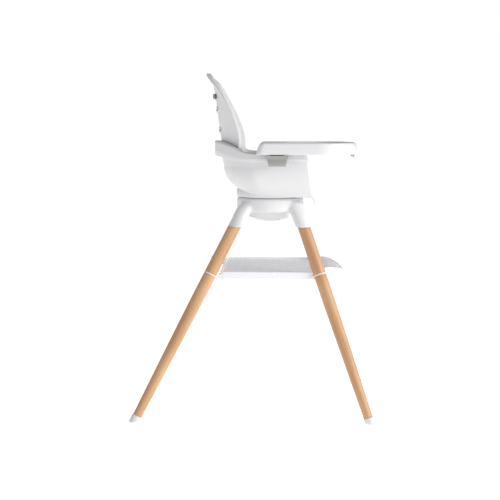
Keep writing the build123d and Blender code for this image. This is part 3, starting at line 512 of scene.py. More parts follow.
def socket_skin(end, side):
    """One leg socket's skin."""
    levels = socket_levels(end)
    zs = [row[0] for row in levels]
    rings = []
    for z in np.linspace(zs[0], zs[-1], 26):
        x, y, rx, ry = [hermite(zs, [row[k] for row in levels], z) for k in (1, 2, 3, 4)]
        turns = [2 * math.pi * i / 48 for i in range(48)]
        rings.append([(x + rx * math.cos(a), side * y + ry * math.sin(a), z) for a in turns])
    return lofted(rings)


HUB_SIDES = 128


def lathe(profile):
    """A skin turned about the swivel's axis from (radius, Z) points, closed at both ends."""
    turns = [2 * math.pi * i / HUB_SIDES for i in range(HUB_SIDES)]
    return lofted([[(SWIVEL_X + r * math.cos(a), r * math.sin(a), z) for a in turns] for r, z in profile])


def corner(cx, cz, radius, start, stop, steps=6):
    """Points round a fillet, from one angle to another in degrees."""
    angles = [math.radians(start + (stop - start) * i / steps) for i in range(steps + 1)]
    return [(cx + radius * math.cos(a), cz + radius * math.sin(a)) for a in angles]


HUB_VOXEL, HUB_BLEND_PASSES = 1.7, 90      # how finely the hub is skinned, and how far its corners flow
hub_profile = [(60.0, HUB_LOW_Z)] + corner(HUB_R - 7, HUB_LOW_Z + 7, 7, -90, 0)
hub_profile += corner(HUB_R - 10, HUB_TOP_Z - 10, 10, 0, 90) + [(40.0, HUB_TOP_Z)]
hub_bm = lathe(hub_profile)
for end in ENDS:
    for side in SIDES.values():
        merge(hub_bm, socket_skin(end, side))
hub = finish_mesh("hub_shell", hub_bm, "base", "hub_white", ["hub_body"])
remesh = hub.modifiers.new("skin", "REMESH")
remesh.mode = "VOXEL"
remesh.voxel_size = HUB_VOXEL * MM
apply_modifiers(hub)
blend = hub.vertex_groups.new(name="blend")
for vertex in hub.data.vertices:
    z = vertex.co.z / MM
    blend.add([vertex.index], ease(536, 556, z) * (1 - 0.85 * ease(594, 604, z)), "REPLACE")
even = hub.modifiers.new("even", "SMOOTH")
even.factor, even.iterations = 0.5, 8
flow = hub.modifiers.new("flow", "SMOOTH")
flow.factor, flow.iterations, flow.vertex_group = 0.5, HUB_BLEND_PASSES, "blend"
apply_modifiers(hub)


# ---------------------------------------------------------------- seat bucket
def front_x(z):
    """The front panel's face, seen from the side."""
    return hermite((581.0, 624.0, 693.0, 746.0), (187.5, 172.2, 159.4, 152.5), z)


def bucket_level(part):
    """One level of the bucket: part 0 is its top edge, 1 its bottom. Z, rear X, middle X, half width."""
    if part < 0.25:
        z = BUCKET_TOP_Z - (BUCKET_TOP_Z - BUCKET_BEND_Z) * part / 0.25
        drop = (BUCKET_TOP_Z - z) / (BUCKET_TOP_Z - BUCKET_BEND_Z)
        return z, -96.0 + 7.0 * drop**1.3, RIM_MID_X, BUCKET_HALF_W - 1.5 * drop**2
    turn = math.radians(88.0 * (part - 0.25) / 0.75)
    c, s = math.cos(turn), math.sin(turn)
    z = BUCKET_BEND_Z - (BUCKET_BEND_Z - BUCKET_LOW_Z) * s
    return z, 23.0 - 112.0 * c, RIM_MID_X + 42.0 * (1 - c), 78.0 + 79.5 * max(c, 0.001) ** 0.65


PANEL_CORNER_R = 5.0


def bucket_outline(z, rear_x, mid_x, half_w):
    """Half of a level outline, from the middle of the front round one side to the middle of the rear."""
    face = front_x(z)
    r = PANEL_CORNER_R
    shares = np.concatenate([np.linspace(0, 0.74, 22), np.linspace(0.76, 1, 22)])
    points = [(face, y) for y in shares * (half_w - r)]
    points += [(face - r + r * math.cos(a), half_w - r + r * math.sin(a))
               for a in np.radians(np.linspace(9, 90, 10))]
    points += [(x, half_w) for x in np.linspace(face - r, mid_x, 16)[1:]]
    points += [(mid_x - (mid_x - rear_x) * math.sin(a), half_w * math.cos(a))
               for a in np.radians(np.linspace(0, 90, 44))[1:]]
    return points


def opening_top(y):
    """The bucket's top edge over the front panel: it dips between the leg openings' outer sides."""
    if abs(y) >= 141:
        return BUCKET_TOP_Z
    return LIP_Z + (BUCKET_TOP_Z - LIP_Z) * max((abs(y) - 96) / 45.0, 0.0) ** 7


def bucket_skin():
    """The bucket's outer surface, as columns from its top edge to the middle of its bottom."""
    parts = np.concatenate([np.linspace(0, 0.25, 13), np.linspace(0.25, 1, 42)[1:]])
    levels = [bucket_level(part) for part in parts]
    grid = np.array([bucket_outline(*level) for level in levels])        # level, column, (x, y)
    heights = np.array([level[0] for level in levels])
    half = grid.shape[1]
    rows = []
    for k in range(len(parts)):
        row = []
        for i in range(half):
            column_y = grid[0, i, 1] if grid[0, i, 0] > RIM_FRONT_X - 12 else BUCKET_HALF_W
            top = opening_top(column_y)
            z = top + (heights[k] - BUCKET_TOP_Z) * (top - BUCKET_LOW_Z) / (BUCKET_TOP_Z - BUCKET_LOW_Z)
            x = np.interp(-z, -heights, grid[:, i, 0])
            y = np.interp(-z, -heights, grid[:, i, 1])
            under = min(max((BUCKET_BEND_Z - z) / (BUCKET_BEND_Z - BUCKET_LOW_Z), 0.0), 1.0)
            row.append((x, y, z - (x - PITCH_X) * math.tan(math.radians(BUCKET_PITCH)) * under))
        rows.append(row)
    return [row + [(x, -y, z) for x, y, z in row[-2:0:-1]] for row in rows]


bm = bmesh.new()
rows = bridge(bm, bucket_skin())
floor_loop = rows[-1]
centre = sum((v.co for v in floor_loop), Vector()) / len(floor_loop)
last = floor_loop
for share in (0.9, 0.7, 0.45, 0.2):
    ring = [bm.verts.new(centre + (v.co - centre) * share) for v in floor_loop]
    for i in range(len(ring)):
        j = (i + 1) % len(ring)
        bm.faces.new((last[i], last[j], ring[j], ring[i]))
    last = ring
bm.faces.new(last)
bucket = finish_mesh("seat_bucket_shell", bm, "seat", "seat_white", ["seat_bucket"])
wall = bucket.modifiers.new("wall", "SOLIDIFY")
wall.thickness, wall.offset, wall.use_even_offset = BUCKET_T * MM, -1.0, True
edge = bucket.modifiers.new("edge", "BEVEL")
edge.width, edge.segments, edge.limit_method, edge.angle_limit = 1.0 * MM, 3, "ANGLE", math.radians(50)
apply_modifiers(bucket)

# the apron: a tongue that hangs from the front panel's foot
APRON_HALF_W = 112.0
rings = []
for z in np.linspace(631, 581.6, 22):
    half_w = APRON_HALF_W * math.sqrt(max(1 - ((z - 652.0) / 71.0) ** 2, 0.02)) if z < 640 else APRON_HALF_W
    x = front_x(z) - 0.25
    thick = BUCKET_T - 0.5
    ring = []
    for u, v in rounded_box_section(half_w, thick / 2, thick / 2 * 0.9, 5):
        ring.append((x - thick / 2 + v - 1.4 * (u / 100) ** 2, u, z))
    rings.append(ring)
finish_mesh("seat_apron", lofted(rings), "seat", "seat_white")


# ---------------------------------------------------------------- armrest rim
def rim_station(part):
    """A station round the rim: its point on the inner wall, outward direction, and outer distance."""
    mid_x, inner_rear, inner_w, outer_rear, outer_w = RIM_MID_X, -97.3, 159.3, -115.5, 172.0
    straight = RIM_FRONT_X - mid_x
    arc = 250.0
    run = part * (2 * straight + 2 * arc)
    side = 1.0 if run <= straight + arc else -1.0
    s = run if side > 0 else 2 * (straight + arc) - run
    if s <= straight:
        x = RIM_FRONT_X - s
        return Vector((x, side * inner_w, 0)), Vector((x, side * outer_w, 0))
    a = (s - straight) / arc * math.pi / 2
    inner = Vector((mid_x - (mid_x - inner_rear) * math.sin(a), side * inner_w * math.cos(a), 0))
    outer = Vector((mid_x - (mid_x - outer_rear) * math.sin(a), side * outer_w * math.cos(a), 0))
    return inner, outer


def rim_top(x):
    """The rim's top edge, which climbs behind the back."""
    xs = (-126, -89, -57, -31, 11, 60, 160)
    return hermite(xs, (776, 768.5, 757, 745.5, RIM_TOP_Z, RIM_TOP_Z, RIM_TOP_Z), x)


def rim_low(x):
    """The rim's lower edge."""
    return hermite((-126, -100, -60, -20, 60, 160), (734, 729, 720.5, 718, 718, 718), x)


def rim_section(width, low, high, notch, inset):
    """An inverted channel with rounded edges: (share of the width, Z) points."""
    w, r, t = width, 4.0, 3.0
    outer = [(w - inset, low + 1.2 + inset)] + [(w - inset, low + (high - low) * 0.4)]
    outer += [(w - inset - 0.25, high - 9)]
    top = [(p, q - inset) for p, q in corner(w - r - inset, high - r, r, 0, 90, 6)]
    top += [(p, q - inset) for p, q in corner(1.2 + inset, high - 1.2, 1.2, 90, 180, 3)]
    inner = [(inset, low + 0.8 + inset), (inset + 0.8, low + inset), (t - 0.6, low + inset)]
    hollow = [(t, low + inset + 0.6), (t, low + inset + notch), (w - t, low + inset + notch)]
    foot = [(w - t, low + inset + 0.6), (w - t + 0.6, low + inset), (w - 1.2 - inset, low + inset)]
    return outer + top + inner + hollow + foot


rings = []
stations = np.concatenate([[0, 0, 0.0008, 0.0022, 0.004], np.linspace(0.0045, 0.9955, 190),
                           [0.996, 0.9978, 0.9992, 1, 1]])
for k, part in enumerate(stations):
    inner, outer = rim_station(part)
    from_end = min(k, len(stations) - 1 - k)
    inset = (2.6, 1.1, 0.35, 0.0)[min(from_end, 3)]
    width = (outer - inner).length
    low, high = rim_low(outer.x), rim_top(outer.x)
    notch = (high - low - 6.0) if from_end > 4 else 0.7
    out = (outer - inner).normalized()
    rings.append([tuple(inner + out * d) [:2] + (z,) for d, z in rim_section(width, low, high, notch, inset)])
finish_mesh("armrest_rim_shell", lofted(rings), "seat", "seat_white", ["armrest_rim"])

# ---------------------------------------------------------------- back
BACK_Z = (702, 745, 790, 835, 880, 915, 943, 966)
BACK_REAR = (-81.5, -92.0, -98.0, -104.5, -110.0, -114.5, -122.0, -131.0)
BACK_EDGE = (-25.0, -30.5, -34.5, -49.0, -70.0, -91.0, -111.0, -130.0)
EGG_HALF_W, EGG_Z, EGG_TOP_Z, EGG_FOOT_Z = 148.0, 790.0, 970.0, 750.0
WAIST_Z = 745      # the shell is egg-shaped above this
LIP_ZS = (744, 795, 835, 880, 915, 944, 966)
LIP_XS = (-34.5, -38, -51, -72, -93, -115, -131)


def egg_width(z, inset=0.0):
    """Half the back's width at height z, seen from the front."""
    if z <= EGG_Z:
        return EGG_HALF_W - inset - 3.0 * (EGG_Z - z) / 37.0 * (z < EGG_Z)
    height = EGG_TOP_Z - EGG_Z - inset
    return (EGG_HALF_W - inset) * math.sqrt(max(1 - ((z - EGG_Z) / height) ** 2, 0.0))


def foot_width(z):
    """Half the shell's width where it is inside the bucket."""
    return 128 + (z - BACK_Z[0]) * 12 / 43.0


def shell_x(y, z):
    """The rear face of the back's dished shell."""
    rear, edge_x = hermite(BACK_Z, BACK_REAR, z), hermite(BACK_Z, BACK_EDGE, z)
    half_w = max(egg_width(z, 3.0) if z > WAIST_Z else foot_width(z), 8.0)
    depth = max(edge_x - rear, 0.5)
    radius = (half_w**2 + depth**2) / (2 * depth)
    return rear + radius - math.sqrt(max(radius**2 - y * y, 1.0))


def back_rows():
    """Rows across the back's shell, from its foot to its top."""
    low_z, high_z, inset = BACK_Z[0], BACK_Z[-1], 4.0
    rows = []
    for t in np.linspace(0, 1, 56):
        z = low_z + (high_z - low_z) * math.sin(t * math.pi / 2) ** 0.9
        half_w = egg_width(z, inset) if z > WAIST_Z else foot_width(z) - inset + 3
        rows.append([(shell_x(y, z), y, z) for y in np.linspace(-half_w, half_w, 61)])
    return rows


bm = bmesh.new()
bridge(bm, back_rows(), closed=False)
back = finish_mesh("back_shell_skin", bm, "seat", "seat_white", ["back_shell"])
wall = back.modifiers.new("wall", "SOLIDIFY")
wall.thickness, wall.offset = 3.5 * MM, 1.0
edge = back.modifiers.new("edge", "BEVEL")
edge.width, edge.segments, edge.limit_method = 1.0 * MM, 2, "ANGLE"


def cutter(name, bm):
    """A shape that cuts other pieces and isn't shown."""
    tool = new_object(name, bm)
    tool.hide_render = True
    return tool


def cut(piece, tool):
    """Cuts a cutter's shape out of a piece."""
    hole = piece.modifiers.new("hole", "BOOLEAN")
    hole.operation, hole.object, hole.solver = "DIFFERENCE", tool, "EXACT"
    apply_modifiers(piece)


slots_bm = bmesh.new()
SLOT_HALF_W, SLOT_HALF_H = 12.5, 3
for z in SLOT_ZS:
    for side in SIDES.values():
        low = (-150, side * SLOT_Y - SLOT_HALF_W, z - SLOT_HALF_H)
        merge(slots_bm, rounded_block(low, (-60, side * SLOT_Y + SLOT_HALF_W, z + SLOT_HALF_H), 2.8))
slots = cutter("slots", slots_bm)
apply_modifiers(back)
cut(back, slots)


# a low rib round each lower pair of slots, dying away at both ends
RIB_HALF_W, RIB_HALF_H, RIB_RISE, RIB_ROOT, RIB_FADE_Y = 60.0, 9.0, 3.4, 1.5, 38.0
for number, z in enumerate(SLOT_ZS[:2]):
    rings = []
    tip = np.array([0.0, 0.0, 0.4, 1.4])
    middle = np.linspace(3 - RIB_HALF_W, RIB_HALF_W - 3, 40)
    for y in np.concatenate([tip - RIB_HALF_W, middle, (RIB_HALF_W - tip)[::-1]]):
        shrink = 1 - 0.8 * ease(RIB_FADE_Y, RIB_HALF_W, abs(y))
        ring = []
        half_t = (RIB_RISE + RIB_ROOT) * shrink / 2
        for u, v in rounded_box_section(RIB_HALF_H * shrink, half_t, 2.2 * shrink, 5):
            ring.append((shell_x(y, z + u) - (RIB_RISE - RIB_ROOT) / 2 * shrink - v, y, z + u))
        rings.append(ring)
    rib = finish_mesh(f"back_rib_{number + 1}", lofted(rings), "seat", "seat_white")
    cut(rib, slots)

# the bar that keeps the upper straps' ends behind the shell
retainer_bm = rounded_block((-117.6, -50, 894.5), (-111.5, 50, 909.5), 2.4)
finish_mesh("strap_retainer_bar", retainer_bm, "seat", "retainer_dark", ["strap_retainer"])

# the lip round the back: one rounded band that follows the egg outline
lip_points = []
for a in np.radians(np.linspace(0, 90, 49)):
    lip_points.append((EGG_HALF_W * math.cos(a), EGG_Z + (EGG_TOP_Z - EGG_Z) * math.sin(a)))
lip_half = [(145.0, EGG_FOOT_Z - 6), (146.4, 764.0), (147.6, 777.0)] + lip_points
lip_path = lip_half + [(-y, z) for y, z in lip_half[-2::-1]]
rings = []
for k, (y, z) in enumerate(lip_path):
    before, after = lip_path[max(k - 1, 0)], lip_path[min(k + 1, len(lip_path) - 1)]
    tangent = Vector((after[0] - before[0], after[1] - before[1])).normalized()
    inward = Vector((-tangent.y, tangent.x))
    middle = Vector((y, z)) + inward * 4.0
    x = hermite(LIP_ZS, LIP_XS, min(middle.y, 966.0)) - 1.5
    depth = 4.0 + 3.4 * ease(905, 960, middle.y)
    ring = []
    for u, v in rounded_box_section(4.0, depth, 3.6, 5):
        ring.append((x + v, middle.x - inward.x * u, middle.y - inward.y * u))
    rings.append(ring)
finish_mesh("back_lip", lofted(rings), "seat", "seat_white", ["back_rim"])


# ---------------------------------------------------------------- tray
TRAY_BULGE_R, TRAY_CORNER_R = 520.0, 112.0      # the front edge's long curve and its corners
REAR_SLANT, SLANT_FROM_Z = 0.40, 744.5          # the tray's rear ends lean forward above this height


def tray_slant(x, y, z):
    """How far forward a point of the tray's wall leans at its rear ends."""
    near_rear = 1 - ease(TRAY_REAR_X + 4, TRAY_REAR_X + 70, x) if abs(y) > 140 else 0.0
    return max(z - SLANT_FROM_Z, 0.0) * REAR_SLANT * near_rear


def tray_outline(inset):
    """The tray from above, moved inward by inset, as a closed run of points from the front."""
    bulge, corner_r = TRAY_BULGE_R, TRAY_CORNER_R
    bulge_x = TRAY_FRONT_X - bulge
    corner_y = TRAY_HALF_W - corner_r
    corner_x = bulge_x + math.sqrt((bulge - corner_r) ** 2 - corner_y**2)
    meet = math.atan2(corner_y, corner_x - bulge_x)
    half = [(bulge_x + (bulge - inset) * math.cos(a), (bulge - inset) * math.sin(a))
            for a in np.linspace(0, meet, 20)[:-1]]
    half += [(corner_x + (corner_r - inset) * math.cos(a), corner_y + (corner_r - inset) * math.sin(a))
             for a in np.linspace(meet, math.pi / 2, 34)]
    side_y = TRAY_HALF_W - inset
    rear_r = max(16.0 - inset, 2.0)
    rear_x = TRAY_REAR_X + inset
    half += [(x, side_y) for x in np.linspace(corner_x, rear_x + rear_r, 24)[1:]]
    half += [(rear_x + rear_r - rear_r * math.sin(a), side_y - rear_r + rear_r * math.cos(a))
             for a in np.linspace(0, math.pi / 2, 9)[1:]]
    bay_x, bay_rx, bay_ry = 6.0, 86.0 + inset, 148.0 + inset
    mouth = math.asin((rear_x - bay_x) / bay_rx)
    mouth_y = bay_ry * math.cos(mouth)
    nose_r = 7.0
    half += [(rear_x, y) for y in np.linspace(side_y - rear_r, mouth_y + nose_r, 8)[1:]]
    start = Vector((rear_x, mouth_y + nose_r))
    turn_a = mouth + 0.09
    stop = Vector((bay_x + bay_rx * math.sin(turn_a), bay_ry * math.cos(turn_a)))
    knee = Vector((rear_x, mouth_y))
    for t in np.linspace(0, 1, 8)[1:]:
        p = start * (1 - t) ** 2 + knee * 2 * t * (1 - t) + stop * t * t
        half.append((p.x, p.y))
    half += [(bay_x + bay_rx * math.sin(a), bay_ry * math.cos(a))
             for a in np.linspace(turn_a, math.pi / 2, 44)[1:]]
    return half + [(x, -y) for x, y in half[-2:0:-1]]


def tray_low_z(x, y):
    """The tray's lower edge: a deep skirt outside, and a raised edge over the armrests and the bay."""
    if abs(y) > 187 or x > 165:
        return TRAY_SKIRT_Z
    return TRAY_ARM_Z


def tray_ring(inset, z, follow=0.0):
    """The outline at one level. follow is 1 where the level rides on the lower edge."""
    ring = []
    for (x, y), (ox, oy) in zip(tray_outline(inset), tray_outline(0)):
        level = z
        if follow:
            level = z + (tray_low_z(ox, oy) - TRAY_SKIRT_Z) * follow
        ring.append((x + tray_slant(ox, oy, level), y, level))
    return ring


def tray_edge_ring(turn):
    """The rolled outer edge at one turn of its curve: deep and soft in front, tighter at the sides."""
    ring = []
    for (ox, oy), (ix, iy) in zip(tray_outline(0), tray_outline(1.0)):
        front = ease(215, 290, ox)
        across, down = 4.5 + 3.5 * front, 4.5 + 9.5 * front
        inset = across * (1 - math.cos(turn))
        level = TRAY_TOP_Z - down * (1 - math.sin(turn))
        x = ox + (ix - ox) * inset + tray_slant(ox, oy, level)
        ring.append((x, oy + (iy - oy) * inset, level))
    return ring


tray_rings = [tray_ring(26, BASIN_Z - 3), tray_ring(13, BASIN_Z - 2.7), tray_ring(11.5, BASIN_Z),
              tray_ring(10.5, BASIN_Z + 4), tray_ring(6.0, BASIN_Z + 4), tray_ring(4.0, BASIN_Z),
              tray_ring(2.8, TRAY_SKIRT_Z + 1.0, 1.0),
              tray_ring(2.3, TRAY_SKIRT_Z + 0.2, 1.0), tray_ring(0.9, TRAY_SKIRT_Z + 0.2, 1.0),
              tray_ring(0.2, TRAY_SKIRT_Z + 0.9, 1.0), tray_ring(0.0, TRAY_SKIRT_Z + 3.0, 1.0),
              tray_ring(0.0, 750.0)]
tray_rings += [tray_edge_ring(turn) for turn in np.radians(np.linspace(0, 90, 9))]
tray_rings += [tray_ring(inset, TRAY_TOP_Z - down)
               for inset, down in ((8.6, 0), (10.0, 0.3), (11.6, 1.3), (13.2, 3.4))]
tray_rings += [tray_ring(inset, BASIN_Z + up)
               for inset, up in ((15.0, 2.4), (17.2, 0.8), (20.5, 0.1), (26.0, 0))]
bm = lofted(tray_rings)
for side in SIDES.values():
    low_y, high_y = sorted((side * 163, side * 168))
    merge(bm, rounded_block((30, low_y, RIM_TOP_Z + 0.4), (140, high_y, BASIN_Z - 1.0), 0.8))
    low_y, high_y = sorted((side * 187.5, side * 203.2))
    for end in (-1, 1):
        low_x, high_x = sorted((LATCH_X + end * 20.6, LATCH_X + end * 26))
        merge(bm, rounded_block((low_x, low_y, 745), (high_x, high_y, 763), 0.8))
finish_mesh("tray_shell", bm, "tray", "tray_white", ["tray_body"])

# the grip under the tray's front edge
rings = []
GRIP_HALF_W, GRIP_DEPTH = 75, 15.0
for y in np.linspace(-GRIP_HALF_W, GRIP_HALF_W, 61):
    fade = math.sqrt(max(1 - (y / GRIP_HALF_W) ** 6, 0.0))
    face = TRAY_FRONT_X - TRAY_BULGE_R + math.sqrt(TRAY_BULGE_R**2 - y * y)
    low = TRAY_SKIRT_Z + 1 - GRIP_DEPTH * fade
    section = ((0.3, TRAY_SKIRT_Z + 4), (0.4, TRAY_SKIRT_Z), (2.6, low + 4), (3.2, low + 1), (4.4, low),
               (6.0, low + 1), (5.6, low + 4), (3.6, TRAY_SKIRT_Z), (3.4, TRAY_SKIRT_Z + 4))
    rings.append([(face - back, y, z) for back, z in section])
finish_mesh("tray_grip", lofted(rings), "tray", "tray_white")

# ---------------------------------------------------------------- latch covers
# height, half width and how far each level stands out: a short top band over a longer squeeze face
LATCH_FACE_Y = 206.2
LATCH_LEVELS = ((734.4, 28.9, -2.4), (734.0, 29.1, -1.4), (733.0, 29.0, -1.0), (726.2, 27.4, -1.5),
                (725.2, 27.1, -1.7), (724.6, 27.0, -0.7), (723.9, 26.8, -0.2), (714.0, 25.0, 0.9),
                (709.0, 24.1, 0.9), (706.6, 23.4, -0.4), (705.4, 22.0, -2.6))
for side_name, side in SIDES.items():
    rings = []
    for z, half_w, out in LATCH_LEVELS:
        rings.append([(LATCH_X + u, side * (LATCH_FACE_Y + out * 0.8 + v * 0.75), z)
                      for u, v in rounded_box_section(half_w, 1.6, 1.5, 5)])
    finish_mesh(f"latch_cover_{side_name}", lofted(rings), f"latch_{side_name}", "latch_grey")


# ---------------------------------------------------------------- pads
PAD_VOXEL, PAD_PRESSURE, FILL_FRAMES = 4.5, 4.0, 20


def inflate(piece, cap):
    """Fills a closed skin out like a stuffed pad, and lets no point move further than cap."""
    remesh = piece.modifiers.new("skin", "REMESH")
    remesh.mode, remesh.voxel_size = "VOXEL", PAD_VOXEL * MM
    apply_modifiers(piece)
    rest = np.array([v.co for v in piece.data.vertices])
    cloth = piece.modifiers.new("fill", "CLOTH")
    cloth.settings.use_pressure = True
    cloth.settings.uniform_pressure_force = PAD_PRESSURE
    cloth.settings.effector_weights.gravity = 0.0
    cloth.settings.tension_stiffness = 12.0
    cloth.settings.quality = 4
    scene = bpy.context.scene
    for number in range(1, FILL_FRAMES + 1):
        scene.frame_set(number)
    apply_modifiers(piece)
    moved = np.array([v.co for v in piece.data.vertices]) - rest
    length = np.linalg.norm(moved, axis=1, keepdims=True)
    limited = rest + moved * np.minimum(1.0, cap * MM / np.maximum(length, 1e-9))
    piece.data.vertices.foreach_set("co", limited.astype(np.float32).ravel())
    scene.frame_set(1)


def subdivide(piece):
    """Makes a piece's mesh once finer."""
    finer = piece.modifiers.new("finer", "SUBSURF")
    finer.levels = finer.render_levels = 1
    apply_modifiers(piece)


PAD_Z = (652, 668, 690, 715, 745, 790, 835, 880, 915, 940, 957)
PAD_REAR = (-57.0, -65.0, -74.0, -79.0, -87.5, -94.0, -100.5, -106.0, -110.5, -117.0, -124.0)
PAD_EDGE = (-28.0, -27.0, -26.0, -26.0, -31.0, -34.0, -48.5, -66.5, -86.0, -103.0, -119.0)
PAD_HALF = (84.0, 98.0, 116.0, 126.0, 133.0, 137.0, 132.0, 117.0, 95.0, 70.0, 34.0)


def pad_x(y, z):
    """The rear face of the back pad."""
    rear, edge_x, half_w = [hermite(PAD_Z, column, z) for column in (PAD_REAR, PAD_EDGE, PAD_HALF)]
    depth = max(edge_x - rear, 0.5)
    radius = (half_w**2 + depth**2) / (2 * depth)
    return rear + 0.6 + radius - math.sqrt(max(radius**2 - y * y, 1.0))


PAD_T = 9.0
PAD_FOOT_Z, PAD_HEAD_Z = 653.0, 955.5
PAD_SEAMS = (735.0, 780.0, 834.0, 884.0)
BORDER = 13      # from a pad's edge to the seam round it


def back_pad_skin():
    """The back pad's front and rear faces, as rows across it."""
    front, rear = [], []
    for t in np.linspace(0, 1, 70):
        z = PAD_FOOT_Z + (PAD_HEAD_Z - PAD_FOOT_Z) * (1 - math.cos(t * math.pi)) / 2
        half_w = hermite(PAD_Z, PAD_HALF, z) - 1.5
        end_round = math.sqrt(max(1 - max((660 - z) / 8, (z - 946) / 10.5, 0) ** 2, 0.0))
        ys = np.linspace(-half_w, half_w, 61) * (0.9 + 0.1 * end_round)
        full = PAD_T * 0.92 * (0.34 + 0.66 * end_round)
        thick = [full * math.sqrt(max(1 - abs(y / half_w) ** 9, 0.03)) for y in ys]
        rear.append([(pad_x(y, z) + 0.3, y, z) for y in ys])
        front.append([(pad_x(y, z) + 0.3 + d, y, z) for y, d in zip(ys, thick)])
    return front, rear


front, rear = back_pad_skin()
bm = bmesh.new()
front_rows, rear_rows = bridge(bm, front, closed=False), bridge(bm, rear, closed=False)
for a, b in zip(zip(front_rows, rear_rows), list(zip(front_rows, rear_rows))[1:]):
    bm.faces.new((a[0][0], b[0][0], b[1][0], a[1][0]))
    bm.faces.new((a[0][-1], b[0][-1], b[1][-1], a[1][-1]))
for front_row, rear_row in ((front_rows[0], rear_rows[0]), (front_rows[-1], rear_rows[-1])):
    for i in range(len(front_row) - 1):
        bm.faces.new((front_row[i], front_row[i + 1], rear_row[i + 1], rear_row[i]))
back_pad = finish_mesh("back_pad_cushion", bm, "seat", "pad_fabric", ["back_pad"])
inflate(back_pad, 3.0)
subdivide(back_pad)


def seam_dip(distance, depth, width):
    """How deep a sewn channel is at a distance from its seam."""
    return depth * math.exp(-((distance / width) ** 2))


def border_distance(y, z):
    """How far a point of the back pad is inside its edge."""
    half_w = hermite(PAD_Z, PAD_HALF, min(max(z, 652), 957))
    return min(half_w - abs(y), z - 652.0, (957.0 - z) * 1.4)


for vertex in back_pad.data.vertices:
    x, y, z = [c / MM for c in vertex.co]
    lift = x - pad_x(y, min(max(z, 653), 956))
    if lift < 3.0:
        vertex.co.x = (x - lift + max(lift, 0.25)) * MM
        continue
    inside = border_distance(y, z)
    dip = seam_dip(inside - BORDER, 2.6, 2.4)
    if inside > BORDER:
        dip = max([dip] + [seam_dip(z - seam, 2.8, 3.0) for seam in PAD_SEAMS])
    vertex.co.x = (x - min(dip, lift - 2.0)) * MM
cut(back_pad, slots)

PAD_LOW_Z = 619.6
PAD_REAR_X, PAD_FRONT_X, PAD_HALF_W, PAD_CORNER_R = -16.0, 153.0, 108.0, 46.0


def seat_pad_outline(inset):
    """The seat pad from above, moved inward by inset."""
    r = PAD_CORNER_R
    far_x, near_x, side_y = PAD_FRONT_X - r, PAD_REAR_X + r, PAD_HALF_W - r
    corners = ((far_x, side_y, 0), (near_x, side_y, 90), (near_x, -side_y, 180), (far_x, -side_y, 270))
    points = []
    for cx, cy, start in corners:
        for a in np.radians(np.linspace(start, start + 90, 14)):
            points.append((cx + (r - inset) * math.cos(a), cy + (r - inset) * math.sin(a)))
    return points


def seat_pad_middle(z):
    """A ring about half the pad's size, which closes its top or its underside."""
    cx = (PAD_REAR_X + PAD_FRONT_X) / 2
    return [(cx + (x - cx) * 0.55, y * 0.55, z) for x, y in seat_pad_outline(44)]


rings = [seat_pad_middle(PAD_LOW_Z)]
for inset, z in ((40, PAD_LOW_Z), (34, PAD_LOW_Z + 0.6), (18, 624.5), (5, 628.0), (2.2, 629.4), (3.4, 630.4),
                 (7, SEAT_PAD_TOP)):
    rings.append([(x, y, z) for x, y in seat_pad_outline(inset)])
rings.append(seat_pad_middle(SEAT_PAD_TOP + 0.2))
bm = lofted(rings)
seat_pad = finish_mesh("seat_pad_cushion", bm, "seat", "pad_fabric", ["seat_pad"])
inflate(seat_pad, 3.2)
subdivide(seat_pad)


def seat_inside(x, y):
    """How far a point of the seat pad is inside its outline."""
    r = PAD_CORNER_R
    dx, dy = min(x - PAD_REAR_X, PAD_FRONT_X - x), PAD_HALF_W - abs(y)
    if dx < r and dy < r:
        return r - math.hypot(r - dx, r - dy)
    return min(dx, dy)


for vertex in seat_pad.data.vertices:
    x, y, z = [c / MM for c in vertex.co]
    if z > 628:
        inside = seat_inside(x, y)
        dip = seam_dip(inside - BORDER - 1, 2.2, 2.4)
        if inside > BORDER + 1:
            dip = max(dip, seam_dip(x - 58, 2.4, 3.0), seam_dip(x - 8, 2.0, 3.0), seam_dip(x - 108, 2.4, 3.0))
        vertex.co.z = (z - dip) * MM
post_room = cutter("post_room", rounded_block((143, -13.5, 600), (200, 13.5, 660), 2.0))
cut(seat_pad, post_room)


# ---------------------------------------------------------------- harness
def ribbon(name, line, across, stands_for):
    """Flat webbing whose underside follows a line of points; across is its width's direction."""
    line = [Vector(p) for p in line]
    across = Vector(across).normalized()
    rings, local, s = [], [], 0.0
    for k, point in enumerate(line):
        before, after = line[max(k - 1, 0)], line[min(k + 1, len(line) - 1)]
        tangent = (after - before).normalized()
        up = tangent.cross(across).normalized()
        if k:
            s += (point - line[k - 1]).length
        ring = []
        for u, v in rounded_box_section(STRAP_W / 2, STRAP_T / 2, STRAP_T * 0.42, 3):
            ring.append(point + across * u + up * (v + STRAP_T / 2))
            local.append((u, v, s))
        rings.append(ring)
    store_local(finish_mesh(name, lofted(rings), "seat", "webbing", [stands_for]), local)


